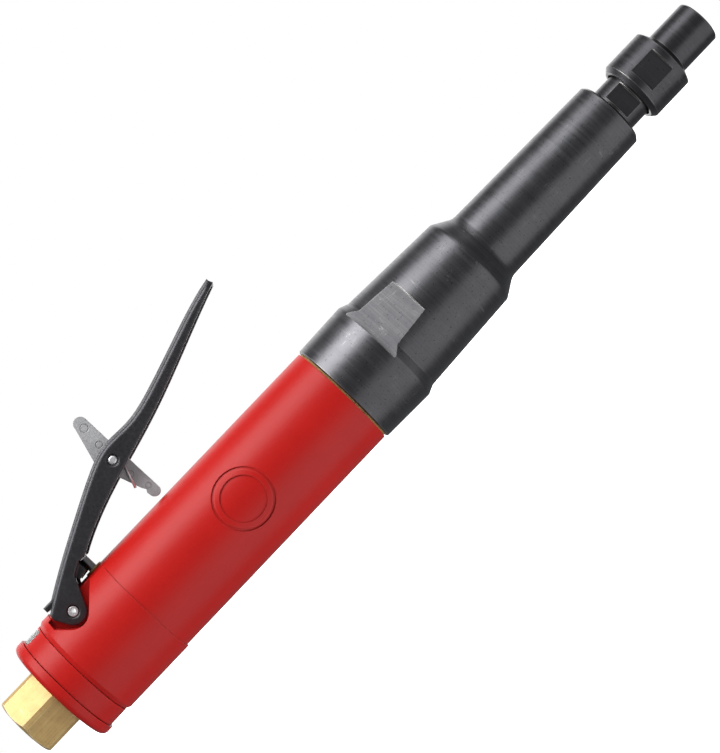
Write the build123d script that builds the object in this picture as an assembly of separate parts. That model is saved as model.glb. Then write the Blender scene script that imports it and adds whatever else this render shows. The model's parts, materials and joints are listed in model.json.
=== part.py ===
"""Extended straight die grinder with rear exhaust, lever throttle and lock-off latch.

Frame, in millimetres: the origin is on the spindle axis at the collet's mouth, +X points
out of the nose along the spindle, +Z points to the lever side and +Y to the far side.
Stations along the tool are x values, worked out from the nose backwards.
"""
import math
import os

from build123d import *

# ---------------------------------------------------------------- outside, nose to tail
NUT_PROUD = 0.3              # nut face ahead of the collet mouth
NOSE_LENGTH = 16.1
NOSE_WALL = 3.05             # around the collet's mouth
NUT_FRONT_BEVEL = 2.1
NUT_BODY_LENGTH = 15.1
NUT_WALL = 3.45              # outside the thread
NUT_REAR_BEVEL = 1.7
NUT_FLAT_DEPTH = 1.05
NUT_FLAT_LENGTH = 10.3
NECK_LENGTH = 9.2            # neck showing between nut and barrel
NECK_STEP = 0.25             # neck outside the thread
NECK_FLAT_AF = 14.2875       # 9/16 in
NECK_FLAT_LENGTH = 7.0
TUBE_LENGTH = 63.2
TUBE_WALL = 2.0              # at the tube's front, outside the bearing
TUBE_DRAFT = 1.0             # growth of the tube's radius to its rear
SHOULDER_LENGTH = 6.7
SHOULDER_ROUND = 5.0         # hollow between tube and shoulder
TAPER_ROUND = 2.0            # soft edge at the taper's front
COLLAR_ROUND = 1.2           # soft edge at the collar's front
TAPER_LENGTH = 38.4
TAPER_DRAFT = 1.7            # growth of the taper's radius to its rear
TAPER_STEP = 1.3             # taper's rear below the collar's front
COLLAR_BEVEL = 3.2
COLLAR_LENGTH = 20.0
COLLAR_DRAFT = 0.5           # growth of the collar's radius to its front
COLLAR_STEP = 0.55           # collar's rear above the handle
BARREL_FLAT_AF = 34.925      # 1-3/8 in
BARREL_FLAT_LENGTH = 18.5
BARREL_FLAT_TILT = 23.0      # degrees, flats leaning towards the lever
GASKET_WIDTH = 0.7
GASKET_INSET = 0.65          # gasket's rim below the handle
GRIP_LENGTH = 95.6
GRIP_RADIUS = 19.95
REAR_SECTION_LENGTH = 27.6
REAR_SECTION_STEP = 0.55     # rear section above the handle
REAR_BEVEL = 1.7
DEFLECTOR_WIDTH = 7.4
DEFLECTOR_STEP = 0.6         # deflector below the rear section
DEFLECTOR_WALL = 1.4
WINDOW_HALF_WIDTH = 7.9
WINDOW_RIM = 0.7             # deflector left beside the window
CAP_WIDTH = 4.2
CAP_STEP = 0.8               # cap above the deflector
CAP_LIP_GAP = 0.5            # cap's lip inside the deflector
CAP_GROOVE_DEPTH = 1.2       # groove for the O-ring
CAP_GROOVE_WIDTH = 2.0
CAP_ROUND = 2.2
INLET_LENGTH = 15.7
INLET_AF = 22.225            # 7/8 in
INLET_TURNED_RADIUS = 12.3

# ---------------------------------------------------------------- handle and valve block
GRIP_WALL = 2.55
EMBLEM_FROM_STEP = 48.0
EMBLEM_GROOVE = (9.6, 10.65)
EMBLEM_DISC = 7.9
EMBLEM_DEPTH = 0.45
EXHAUST_HOLE_RADIUS = 2.6
EXHAUST_PITCH_RADIUS = 13.4
BACKHEAD_WALL = 1.4          # outside the inlet's shank
BACKHEAD_FLANGE_INSET = 2.4  # flange below the handle's bore
BACKHEAD_FLANGE = 3.6
FLANGE_SEAT = 9.0            # handle's shoulder for the flange, ahead of the step
THREAD_PITCH_RADIUS = 6.24   # 1/4-18 NPT at its pitch diameter
THREAD_DEPTH = 12.0
SHANK_WALL = 2.6             # outside the air bore
SHANK_LENGTH = 14.6
AIR_BORE = 5.0
VALVE_SEAT_THICKNESS = 2.0
VALVE_SEAT_BORE = 3.0
VALVE_CHAMBER_STEP = 0.6     # chamber's wall inside the shank's hole
VALVE_DISC_LAP = 1.6         # disc's rim beyond the seat's bore
VALVE_LIFT_GAP = 0.06        # disc to seat
VALVE_DISC_THICKNESS = 1.7
STEM_RADIUS = 1.3
STEM_BORE = 4.6
STEM_ARM = 15.1              # valve seat to the throttle pin

# ---------------------------------------------------------------- lever, latch and pins
PIVOT_FROM_STEP = 17.4       # lever pivot behind the step in the handle
PIVOT_DEPTH = 5.4            # lever pivot below the top of the rear section
LEVER_PIN_RADIUS = 1.7
LEVER_PIN_BORE = 1.0
PIN_RECESS = 0.4             # step around a pin's end in the lever's cheek
PIN_RECESS_DEPTH = 0.5
LUG_HALF_WIDTH = 6.6
CHEEK_GAP = 0.4              # lug to cheek, each side
CHEEK_THICKNESS = 2.2
CHEEK_DROP = 0.9             # cheek shoulder below the web's crown
WEB_THICKNESS = 2.2
LOBE_WALL = 2.9              # lever's lobe around the pin
POCKET_GAP = 1.15            # lever lobe to the pocket's round bottom
POCKET_REAR_RUN = 4.2        # length of the pocket's rear slope, along X
POCKET_FRONT_RUN = 7.0
POCKET_LEDGE = 3.4           # ledge behind the pivot, above it
SLOT_SIDE_GAP = 0.35         # cheek to the sides of the top slot
SLOT_REAR = 7.0              # rear end of the handle's top slot, behind the pivot
LEVER_REAR = 6.4             # lever's rear end behind the pivot
THROTTLE_FROM_STEP = 3.2
THROTTLE_PIN_RADIUS = 1.6
PAD_RISE = 10.1              # lever's pad over the throttle pin, above the pivot
THROTTLE_PLAY = 0.3          # throttle pin to the pad above and to the stem below
BUSH_WALL = 1.6              # around the throttle pin
BUSH_PROUD = 0.4
LATCH_FROM_PIVOT = 44.9
LATCH_RISE = 25.1            # latch pivot above the lever pivot
LATCH_HALF_THICKNESS = 3.0
LATCH_PIN_RADIUS = 1.65
LATCH_PIN_DOME = 0.9
LATCH_BOSS_WALL = 0.85       # around the latch pin
LATCH_TOP_REACH = 16.4
LATCH_TOP_RADIUS = 2.4
LATCH_FOOT_GAP = 1.476       # latch's foot above the handle, lever up
LATCH_FOOT_RADIUS = 2.0
LATCH_FOOT_LEAN = 7.0        # degrees forward of straight down
LATCH_SPRING_WIRE = 0.45
LATCH_SPRING_PLAY = 0.35     # coil inside to the latch pin
LATCH_SPRING_TURNS = 3
WEB_SLOT_FRONT = 21.5        # slot in the web, ahead of the latch pivot
WEB_SLOT_REAR = 8.0

# ---------------------------------------------------------------- motor and spindle
BARREL_INSERT_WALL = 2.2
SPIGOT_LENGTH = 14.5
SPIGOT_STEP = 0.88           # spigot below the barrel insert's outside
END_PLATE_LENGTH = 13.0
CYLINDER_LENGTH = 46.0
CYLINDER_WALL = 1.46         # at its thinnest, below
CYLINDER_OFFSET = 1.5        # bore centre below the axis
ROTOR_GAP = 0.1              # rotor to cylinder at the top
SHAFT_RADIUS = 4.0
DRIVE_HEX_AF = 6.8
VANE_COUNT = 5
VANE_THICKNESS = 1.6
VANE_ROOT = 1.5              # vane's foot outside the shaft
COUPLING_WALL = 3.2          # outside the hexagon's flats
COUPLING_LENGTH = 24.0
SPINDLE_RADIUS = 5.0
BEARING_SHOULDER = 1.6       # step behind the rear spindle bearing
RETAINER_THICKNESS = 3.4
SPACER_WALL = 1.4
WASHER_SPACE = 0.6           # behind the rear spindle bearing
COLLET_BORE = 3.2            # takes a 6.35 mm (1/4 in) shank
COLLET_WALL = 2.8
COLLET_MOUTH_WALL = 2.0
COLLET_LENGTH = 26.0
COLLET_TAPER_LENGTH = 7.0
COLLET_TAIL_WALL = 1.3
COLLET_SLOT = 0.8
COLLET_SEAT_WALL = 2.5       # collet body around the collet

# ---------------------------------------------------------------- clearances
FIT = 0.02                   # located pieces of one body
RUN = 0.05                   # radial clearance of running pins and shafts
GAP = 0.3                    # free gap between pieces that move past each other
CASE = 0.15                  # end float of turning pieces

# ---------------------------------------------------------------- radii and heights
# Ball bearings: bore, outside, width, ball, balls (608 on the rotor, 6900 on the spindle)
ROTOR_BEARING = {"bore": SHAFT_RADIUS, "outside": 11.0, "width": 7.0, "ball": 1.98, "count": 7}
SPINDLE_BEARING = {"bore": SPINDLE_RADIUS, "outside": 11.0, "width": 6.0, "ball": 1.58,
                   "count": 11}

REAR_SECTION_RADIUS = GRIP_RADIUS + REAR_SECTION_STEP
DEFLECTOR_RADIUS = REAR_SECTION_RADIUS - DEFLECTOR_STEP
DEFLECTOR_BORE = DEFLECTOR_RADIUS - DEFLECTOR_WALL
CAP_RADIUS = DEFLECTOR_RADIUS + CAP_STEP
CAP_LIP_RADIUS = DEFLECTOR_BORE - CAP_LIP_GAP
GRIP_BORE = GRIP_RADIUS - GRIP_WALL
GASKET_RADIUS = GRIP_RADIUS - GASKET_INSET
COLLAR_REAR_RADIUS = GRIP_RADIUS + COLLAR_STEP
COLLAR_FRONT_RADIUS = COLLAR_REAR_RADIUS + COLLAR_DRAFT
TAPER_REAR_RADIUS = COLLAR_FRONT_RADIUS - TAPER_STEP
TAPER_FRONT_RADIUS = TAPER_REAR_RADIUS - TAPER_DRAFT
BARREL_BORE = SPINDLE_BEARING["outside"]
DRIVE_BORE = BARREL_BORE - BEARING_SHOULDER
TUBE_FRONT_RADIUS = BARREL_BORE + TUBE_WALL
TUBE_REAR_RADIUS = TUBE_FRONT_RADIUS + TUBE_DRAFT

COLLET_RADIUS = COLLET_BORE + COLLET_WALL
COLLET_MOUTH_RADIUS = COLLET_BORE + COLLET_MOUTH_WALL
COLLET_TAIL_RADIUS = COLLET_BORE + COLLET_TAIL_WALL
NUT_THREAD_RADIUS = COLLET_RADIUS + COLLET_SEAT_WALL
NECK_RADIUS = NUT_THREAD_RADIUS + NECK_STEP
NUT_RADIUS = NUT_THREAD_RADIUS + NUT_WALL
NUT_FLAT_AF = 2 * (NUT_RADIUS - NUT_FLAT_DEPTH)
NOSE_RADIUS = COLLET_MOUTH_RADIUS + NOSE_WALL

SHANK_RADIUS = AIR_BORE + SHANK_WALL
BACKHEAD_RADIUS = SHANK_RADIUS + BACKHEAD_WALL
BACKHEAD_FLANGE_RADIUS = GRIP_BORE - BACKHEAD_FLANGE_INSET
VALVE_CHAMBER_RADIUS = SHANK_RADIUS - VALVE_CHAMBER_STEP
VALVE_DISC_RADIUS = VALVE_SEAT_BORE + VALVE_DISC_LAP
BUSH_RADIUS = THROTTLE_PIN_RADIUS + BUSH_WALL

PIVOT_HEIGHT = REAR_SECTION_RADIUS - PIVOT_DEPTH
LOBE_RADIUS = LEVER_PIN_RADIUS + LOBE_WALL
THROTTLE_PAD_HEIGHT = PIVOT_HEIGHT + PAD_RISE
LATCH_PIVOT_HEIGHT = PIVOT_HEIGHT + LATCH_RISE
LATCH_BOSS_RADIUS = LATCH_PIN_RADIUS + LATCH_BOSS_WALL
LATCH_FOOT_HEIGHT = GRIP_RADIUS + LATCH_FOOT_GAP + LATCH_FOOT_RADIUS
LATCH_FOOT_REACH = ((LATCH_PIVOT_HEIGHT - LATCH_FOOT_HEIGHT)
                    / math.cos(math.radians(LATCH_FOOT_LEAN)))

INSERT_RADIUS = GRIP_BORE - FIT
INSERT_BORE = INSERT_RADIUS - BARREL_INSERT_WALL
SPIGOT_RADIUS = INSERT_RADIUS - SPIGOT_STEP
MOTOR_RADIUS = INSERT_BORE - FIT
CYLINDER_BORE = MOTOR_RADIUS - CYLINDER_OFFSET - CYLINDER_WALL
ROTOR_RADIUS = CYLINDER_BORE - CYLINDER_OFFSET - ROTOR_GAP
VANE_HEIGHT = ROTOR_RADIUS - ROTOR_GAP - SHAFT_RADIUS - VANE_ROOT
COUPLING_RADIUS = DRIVE_HEX_AF / 2 + COUPLING_WALL

CHEEK_INNER = LUG_HALF_WIDTH + CHEEK_GAP
CHEEK_OUTER = CHEEK_INNER + CHEEK_THICKNESS

# ---------------------------------------------------------------- stations
X_NUT_FACE = NUT_PROUD
X_NOSE_REAR = X_NUT_FACE - NOSE_LENGTH
X_NUT_FRONT = X_NOSE_REAR - NUT_FRONT_BEVEL
X_NUT_REAR = X_NUT_FRONT - NUT_BODY_LENGTH
X_NUT_RIM = X_NUT_REAR - NUT_REAR_BEVEL
X_TUBE_FRONT = X_NUT_RIM - NECK_LENGTH
X_TUBE_REAR = X_TUBE_FRONT - TUBE_LENGTH
X_TAPER_FRONT = X_TUBE_REAR - SHOULDER_LENGTH
X_TAPER_REAR = X_TAPER_FRONT - TAPER_LENGTH
X_COLLAR_FRONT = X_TAPER_REAR - COLLAR_BEVEL
X_COLLAR_REAR = X_COLLAR_FRONT - COLLAR_LENGTH
X_GRIP_FRONT = X_COLLAR_REAR - GASKET_WIDTH
X_STEP = X_GRIP_FRONT - GRIP_LENGTH
X_SECTION_REAR = X_STEP - REAR_SECTION_LENGTH
X_HOUSING_REAR = X_SECTION_REAR - REAR_BEVEL
X_DEFLECTOR_REAR = X_HOUSING_REAR - DEFLECTOR_WIDTH
X_CAP_REAR = X_DEFLECTOR_REAR - CAP_WIDTH
X_INLET_REAR = X_CAP_REAR - INLET_LENGTH

X_PIVOT = X_STEP - PIVOT_FROM_STEP
X_THROTTLE = X_STEP - THROTTLE_FROM_STEP
X_LATCH = X_PIVOT + LATCH_FROM_PIVOT
X_EMBLEM = X_STEP + EMBLEM_FROM_STEP
THROTTLE_ARM = X_THROTTLE - X_PIVOT

X_CLAMP = X_COLLAR_REAR + SPIGOT_LENGTH + 0.5
X_CYLINDER_FRONT = X_CLAMP - END_PLATE_LENGTH
X_CYLINDER_REAR = X_CYLINDER_FRONT - CYLINDER_LENGTH
X_MOTOR_REAR = X_CYLINDER_REAR - END_PLATE_LENGTH
X_SHANK_FRONT = X_CAP_REAR + SHANK_LENGTH
X_SEAT_REAR = X_THROTTLE - STEM_ARM
X_SEAT_FRONT = X_SEAT_REAR + VALVE_SEAT_THICKNESS
X_RETAINER_REAR = X_TUBE_FRONT - CASE - RETAINER_THICKNESS
X_COUPLING_FRONT = X_CLAMP + 1.4 + COUPLING_LENGTH

X_FLANGE_SEAT = X_STEP + FLANGE_SEAT
X_BEARINGS = {
    "rotor_rear_bearing": X_MOTOR_REAR + 1.0 + ROTOR_BEARING["width"] / 2,
    "rotor_front_bearing": X_CLAMP - 1.0 - ROTOR_BEARING["width"] / 2,
    "spindle_rear_bearing": X_TAPER_FRONT - 8.0,
    "spindle_front_bearing": X_RETAINER_REAR - CASE - SPINDLE_BEARING["width"] / 2,
}


# ---------------------------------------------------------------- helpers
def turned(points):
    """Solid of revolution about the tool axis from (x, radius) points."""
    profile = Polyline(*[(x, radius) for x, radius in points], close=True)
    return revolve(Plane.XZ * make_face(profile), axis=Axis.X)


def rod(x_from, x_to, radius, bore=0.0):
    """Round bar or tube along the tool axis."""
    length = abs(x_to - x_from)
    place = Plane(origin=(min(x_from, x_to), 0, 0), z_dir=(1, 0, 0))
    solid = extrude(place * Circle(radius), length)
    if bore > 0:
        solid -= extrude(place * Circle(bore), length)
    return solid


def cross_pin(x, z, radius, half_length):
    """Pin or hole across the tool, along Y."""
    place = Plane(origin=(x, -half_length, z), x_dir=(1, 0, 0), z_dir=(0, 1, 0))
    return extrude(place * Circle(radius), 2 * half_length)


def upright(x, z_from, z_to, radius):
    """Pin or hole towards the lever, along Z."""
    return extrude(Plane.XY.offset(z_from) * Pos(x, 0) * Circle(radius), z_to - z_from)


def side_plate(face, y_from, y_to):
    """Extrude a face drawn in side view (x, z) from y_from to y_to."""
    return extrude(Plane.XZ.offset(-y_from) * face, -(y_to - y_from))


def block(x_range, y_range, z_range):
    """Box from its limits along each axis."""
    spans = [high - low for low, high in (x_range, y_range, z_range)]
    centre = [(low + high) / 2 for low, high in (x_range, y_range, z_range)]
    return Pos(*centre) * Box(*spans)


def hex_bar(x_from, x_to, across_flats):
    """Hexagonal bar along the axis, with two flats facing up and down."""
    place = Plane(origin=(x_from, 0, 0), x_dir=(0, 1, 0), z_dir=(1, 0, 0))
    hexagon = RegularPolygon(across_flats / 2, 6, major_radius=False)
    return extrude(place * hexagon, x_to - x_from)


def flat_cutters(x_from, x_to, across_flats, reach, tilt=0.0, half_height=50.0):
    """Two slabs that leave opposite wrench flats facing -Y and +Y."""
    slabs = []
    for side in (-1, 1):
        near, far = sorted((side * across_flats / 2, side * reach))
        slab = block((x_from, x_to), (near, far), (-half_height, half_height))
        slabs.append(Rot(-tilt, 0, 0) * slab)
    return slabs


def angles(count, start=0.0):
    """Evenly spaced angles in degrees."""
    return [start + 360.0 * i / count for i in range(count)]


def single(shape):
    """Plain solid out of a one-solid result."""
    solids = shape.solids()
    return solids[0] if len(solids) == 1 else Compound(solids)


# ---------------------------------------------------------------- rear end
def inlet_bushing():
    """Brass inlet: hexagon turned on its corners, threaded shank and air bore."""
    x_bore = X_INLET_REAR + THREAD_DEPTH
    body = hex_bar(X_INLET_REAR, X_CAP_REAR, INLET_AF)
    body &= turned([
        (X_INLET_REAR, 0), (X_INLET_REAR, INLET_AF / 2 - 0.4),
        (X_INLET_REAR + 1.0, INLET_TURNED_RADIUS), (X_CAP_REAR, INLET_TURNED_RADIUS),
        (X_CAP_REAR, 0)])
    body += rod(X_CAP_REAR, X_SHANK_FRONT, SHANK_RADIUS)
    body -= rod(X_INLET_REAR, x_bore, THREAD_PITCH_RADIUS)
    body -= rod(x_bore, X_SHANK_FRONT, AIR_BORE)
    return body


def inlet_screen():
    """Cup-shaped strainer held in the front of the inlet's air bore."""
    rim = rod(X_SHANK_FRONT + FIT, X_SHANK_FRONT + 0.5, SHANK_RADIUS - 0.8, AIR_BORE - 0.6)
    depth = 7.0
    wall = 0.3
    cup = rod(X_SHANK_FRONT - depth, X_SHANK_FRONT + 0.5, AIR_BORE - 0.3, AIR_BORE - 0.3 - wall)
    end = rod(X_SHANK_FRONT - depth, X_SHANK_FRONT - depth + wall, AIR_BORE - 0.3)
    return rim + cup + end


def rear_cap():
    """Rounded flange that holds the deflector on, gripped by the inlet's hexagon."""
    groove_x = X_DEFLECTOR_REAR + CAP_GROOVE_DEPTH
    groove_radius = CAP_LIP_RADIUS - CAP_GROOVE_WIDTH
    cap = turned([
        (X_CAP_REAR, SHANK_RADIUS + FIT), (X_CAP_REAR, CAP_RADIUS),
        (X_DEFLECTOR_REAR, CAP_RADIUS), (X_DEFLECTOR_REAR, CAP_LIP_RADIUS),
        (groove_x, CAP_LIP_RADIUS), (groove_x, groove_radius),
        (X_DEFLECTOR_REAR, groove_radius), (X_DEFLECTOR_REAR, SHANK_RADIUS + FIT)])
    rear_edges = cap.edges().filter_by(GeomType.CIRCLE).filter_by(
        lambda edge: abs(edge.radius - CAP_RADIUS) < 0.01)
    return fillet(rear_edges.sort_by(Axis.X)[0], CAP_ROUND)


def deflector_window():
    """Opening in the deflector's top, as a wedge of the collar."""
    return block((X_DEFLECTOR_REAR + WINDOW_RIM, X_HOUSING_REAR - WINDOW_RIM),
                 (-WINDOW_HALF_WIDTH, WINDOW_HALF_WIDTH), (0, CAP_RADIUS + 5))


def exhaust_deflector():
    """Turning collar with the exhaust window on top."""
    collar = rod(X_DEFLECTOR_REAR + CASE, X_HOUSING_REAR - CASE,
                 DEFLECTOR_RADIUS, DEFLECTOR_BORE)
    return collar - deflector_window()


def exhaust_screen():
    """Bent wire mesh that fills the deflector's window, drawn as a thin plate."""
    outside = DEFLECTOR_RADIUS - 0.1
    thickness = 0.8
    margin = WINDOW_RIM + FIT
    plate = rod(X_DEFLECTOR_REAR + margin, X_HOUSING_REAR - margin, outside, outside - thickness)
    half_width = WINDOW_HALF_WIDTH - FIT
    return plate & block((X_DEFLECTOR_REAR, X_HOUSING_REAR),
                         (-half_width, half_width), (0, CAP_RADIUS + 5))


def deflector_oring():
    """O-ring on the cap's lip that keeps the deflector from turning by itself."""
    wire = 0.6
    centre = CAP_LIP_RADIUS - CAP_GROOVE_WIDTH - wire - FIT
    return Pos(X_DEFLECTOR_REAR + wire + FIT, 0, 0) * Rot(0, 90, 0) * Torus(centre, wire)


def muffler_pad():
    """Porous pad around the backhead that the exhaust passes through."""
    return rod(X_DEFLECTOR_REAR + CAP_GROOVE_DEPTH + 1.0, X_HOUSING_REAR - FIT,
               DEFLECTOR_BORE - GAP, BACKHEAD_RADIUS + GAP)


# ---------------------------------------------------------------- handle
def pocket_face():
    """Side view of the V pocket beside each cheek: round bottom, sides at 45 degrees."""
    radius = LOBE_RADIUS + POCKET_GAP
    height = PIVOT_HEIGHT
    slant = radius * math.sin(math.radians(45))
    low_left = (X_PIVOT - slant, height - slant)
    low_right = (X_PIVOT + slant, height - slant)
    left_top = (low_left[0] - POCKET_REAR_RUN, low_left[1] + POCKET_REAR_RUN)
    right_top = (low_right[0] + POCKET_FRONT_RUN, low_right[1] + POCKET_FRONT_RUN)
    outline = Line(low_right, right_top)
    above = REAR_SECTION_RADIUS + 1
    ledge = height + POCKET_LEDGE
    rear = X_PIVOT - SLOT_REAR
    outline += Polyline(right_top, (right_top[0], above), (rear, above), (rear, ledge),
                        (left_top[0], ledge), left_top, low_left)
    outline += ThreePointArc(low_left, (X_PIVOT, height - radius), low_right)
    return make_face(outline)


def emblem_cuts():
    """Plain sunk rings on the near side of the handle."""
    depth = GRIP_RADIUS - EMBLEM_DEPTH
    inner, outer = EMBLEM_GROOVE
    reach = outer + 1
    far = 2 * GRIP_RADIUS
    skin = rod(X_EMBLEM - reach, X_EMBLEM + reach, GRIP_RADIUS + 3, depth)
    near = block((X_EMBLEM - reach, X_EMBLEM + reach), (-far, 0), (-reach, reach))
    stamp = cross_pin(X_EMBLEM, 0, outer, far) - cross_pin(X_EMBLEM, 0, inner, far)
    stamp += cross_pin(X_EMBLEM, 0, EMBLEM_DISC, far)
    return stamp & skin & near


def grip_housing():
    """Composite handle: outside, motor bore, lug with its pockets, and exhaust holes."""
    x_insert = X_MOTOR_REAR - BACKHEAD_FLANGE - 0.4
    outline = [
        (X_HOUSING_REAR, BACKHEAD_RADIUS + FIT), (X_HOUSING_REAR, DEFLECTOR_RADIUS - 0.3),
        (X_SECTION_REAR, REAR_SECTION_RADIUS), (X_STEP, REAR_SECTION_RADIUS),
        (X_STEP, GRIP_RADIUS), (X_GRIP_FRONT, GRIP_RADIUS), (X_GRIP_FRONT, GRIP_BORE),
        (x_insert, GRIP_BORE), (x_insert, BACKHEAD_FLANGE_RADIUS + FIT),
        (X_FLANGE_SEAT, BACKHEAD_FLANGE_RADIUS + FIT), (X_FLANGE_SEAT, BACKHEAD_RADIUS + FIT)]
    body = turned(outline)
    slot_rear = X_PIVOT - SLOT_REAR
    slot = rod(slot_rear, X_STEP, REAR_SECTION_RADIUS + 2, GRIP_RADIUS)
    slot_half = CHEEK_OUTER + SLOT_SIDE_GAP
    slot &= block((slot_rear, X_STEP), (-slot_half, slot_half), (0, 2 * GRIP_RADIUS))
    body -= slot
    pocket = pocket_face()
    for side in (-1, 1):
        inner, outer = sorted((side * LUG_HALF_WIDTH, side * (REAR_SECTION_RADIUS + 1)))
        body -= side_plate(pocket, inner, outer)
    for angle in angles(8, 22.5)[4:]:
        centre = Vector(0, EXHAUST_PITCH_RADIUS, 0).rotate(Axis.X, angle)
        place = Plane(origin=(X_HOUSING_REAR, centre.Y, centre.Z), z_dir=(1, 0, 0))
        body -= extrude(place * Circle(EXHAUST_HOLE_RADIUS), X_FLANGE_SEAT - X_HOUSING_REAR)
    body -= cross_pin(X_PIVOT, PIVOT_HEIGHT, LEVER_PIN_RADIUS + FIT, LUG_HALF_WIDTH + 1)
    body -= upright(X_THROTTLE, 0, REAR_SECTION_RADIUS + 2, BUSH_RADIUS + FIT)
    body -= emblem_cuts()
    return body


def backhead():
    """Aluminium valve block: inlet thread, valve chamber, seat shoulder and air duct."""
    body = turned([
        (X_HOUSING_REAR, 0), (X_HOUSING_REAR, BACKHEAD_RADIUS),
        (X_MOTOR_REAR - BACKHEAD_FLANGE, BACKHEAD_RADIUS),
        (X_MOTOR_REAR - BACKHEAD_FLANGE, BACKHEAD_FLANGE_RADIUS),
        (X_MOTOR_REAR, BACKHEAD_FLANGE_RADIUS), (X_MOTOR_REAR, 0)])
    body -= rod(X_HOUSING_REAR, X_SHANK_FRONT + 0.5, SHANK_RADIUS + FIT)
    body -= rod(X_SHANK_FRONT, X_SEAT_FRONT, VALVE_CHAMBER_RADIUS)
    body -= rod(X_SEAT_FRONT, X_MOTOR_REAR, STEM_BORE)
    body -= upright(X_THROTTLE, 0, BACKHEAD_RADIUS + 1, BUSH_RADIUS + FIT)
    for angle in angles(6, 30):
        centre = Vector(0, 11.5, 0).rotate(Axis.X, angle)
        place = Plane(origin=(X_MOTOR_REAR - BACKHEAD_FLANGE, centre.Y, centre.Z), z_dir=(1, 0, 0))
        body -= extrude(place * Circle(1.8), BACKHEAD_FLANGE)
    return body


def valve_seat():
    """Rubber washer that the tilt valve closes on."""
    return rod(X_SEAT_REAR, X_SEAT_FRONT, VALVE_CHAMBER_RADIUS - FIT, VALVE_SEAT_BORE)


def tilt_valve():
    """Disc on a long stem: the throttle pin pushes the stem aside and lifts the disc."""
    x_face = X_SEAT_REAR - VALVE_LIFT_GAP
    disc = rod(x_face - VALVE_DISC_THICKNESS, x_face, VALVE_DISC_RADIUS)
    boss = rod(x_face - VALVE_DISC_THICKNESS - 1.0, x_face - VALVE_DISC_THICKNESS, 2.0)
    stem = rod(x_face, X_THROTTLE + THROTTLE_PIN_RADIUS + 0.8, STEM_RADIUS)
    return disc + boss + stem


def valve_spring():
    """Conical coil spring between the inlet screen and the valve disc."""
    x_front = X_SEAT_REAR - VALVE_LIFT_GAP - VALVE_DISC_THICKNESS - 0.5
    x_rear = X_SHANK_FRONT + 1.0
    wire = 0.35
    coils = 3.0
    base_radius = VALVE_CHAMBER_RADIUS - 1.6
    cone = 12.0
    path = Helix(pitch=(x_front - x_rear) / coils, height=x_front - x_rear,
                 radius=base_radius, cone_angle=-cone)
    start = Plane(origin=path @ 0, z_dir=path % 0)
    coil = sweep(start * Circle(wire), path=path)
    return Pos(x_rear, 0, 0) * Rot(0, 90, 0) * coil


def throttle_bush():
    """Brass bush that guides the throttle pin through handle and backhead."""
    bush = upright(X_THROTTLE, STEM_BORE + 0.6, GRIP_RADIUS + BUSH_PROUD, BUSH_RADIUS)
    bush -= upright(X_THROTTLE, 0, REAR_SECTION_RADIUS + 2, THROTTLE_PIN_RADIUS + RUN)
    bush -= upright(X_THROTTLE, 0, STEM_BORE + 2.0, THROTTLE_PIN_RADIUS + 1.1)
    return bush


def throttle_pin_oring():
    """O-ring in the lower end of the throttle bush."""
    wire = 0.5
    centre_radius = THROTTLE_PIN_RADIUS + RUN + wire
    return Pos(X_THROTTLE, 0, STEM_BORE + 2.0 - wire) * Torus(centre_radius, wire)


def throttle_pin():
    """Plunger between the lever's pad and the valve stem."""
    return upright(X_THROTTLE, STEM_RADIUS + THROTTLE_PLAY, THROTTLE_PAD_HEIGHT - THROTTLE_PLAY,
                   THROTTLE_PIN_RADIUS)


# ---------------------------------------------------------------- lever and latch
def lever_point(along, height):
    """Side-view point given from the lever pivot, along the tool and above the pivot."""
    return (X_PIVOT + along, PIVOT_HEIGHT + height)


CROWN = [(-2.4, 7.8), (9.6, 14.5), (23.1, 21.3), (36.6, 27.7), (46.0, 30.6),
         (56.8, 30.5), (70.0, 33.0), (90.0, 39.2), (109.8, 44.3)]
TAB_THICKNESS = 1.9
PAD_THICKNESS = 1.2
RIB_THICKNESS = 1.4          # rib inside each cheek that stops the lever on the handle
RIB_FOOT = 5.65              # rib's lower edge above the pivot


def crown_curve(drop):
    """Top line of the lever in side view, lowered by drop."""
    return Spline(*[lever_point(along, height - drop) for along, height in CROWN])


def cheek_face():
    """Side view of a cheek: lobe around the pivot, pad over the throttle pin, long taper."""
    top = crown_curve(CHEEK_DROP)
    rear_top = top @ 0
    tip_top = top @ 1
    centre = Vector(X_PIVOT, PIVOT_HEIGHT)
    lobe = [centre + Vector(LOBE_RADIUS, 0).rotate(Axis.Z, angle) for angle in (205, 270, 335)]
    shoulder = Vector(*lever_point(-LEVER_REAR, 2.5))
    shoulder_top = Vector(*lever_point(0.2 - LEVER_REAR, 4.7))
    throat = Vector(*lever_point(8.9, 7.9))
    pad_rear = Vector(*lever_point(13.1, PAD_RISE))
    pad_front = Vector(*lever_point(16.2, PAD_RISE))
    under = Spline(pad_front, Vector(*lever_point(29.9, 16.1)), Vector(*lever_point(46.5, 21.1)),
                   Vector(*lever_point(60.0, 24.7)), Vector(*lever_point(70.2, 27.8)),
                   Vector(*lever_point(90.1, 34.9)), Vector(tip_top.X + 0.7, tip_top.Y - 1.3))
    outline = top
    outline += Line(rear_top, shoulder_top)
    outline += Line(shoulder_top, shoulder)
    outline += Line(shoulder, lobe[0])
    outline += ThreePointArc(*lobe)
    outline += Line(lobe[2], throat)
    outline += Line(throat, pad_rear)
    outline += Line(pad_rear, pad_front)
    outline += under
    outline += Line(under @ 1, tip_top)
    return make_face(outline)


def band_face(upper, lower):
    """Side view of the strip between two lowered crown lines."""
    top = crown_curve(upper)
    bottom = crown_curve(lower)
    outline = top + bottom + Line(top @ 0, bottom @ 0) + Line(top @ 1, bottom @ 1)
    return make_face(outline)


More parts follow.
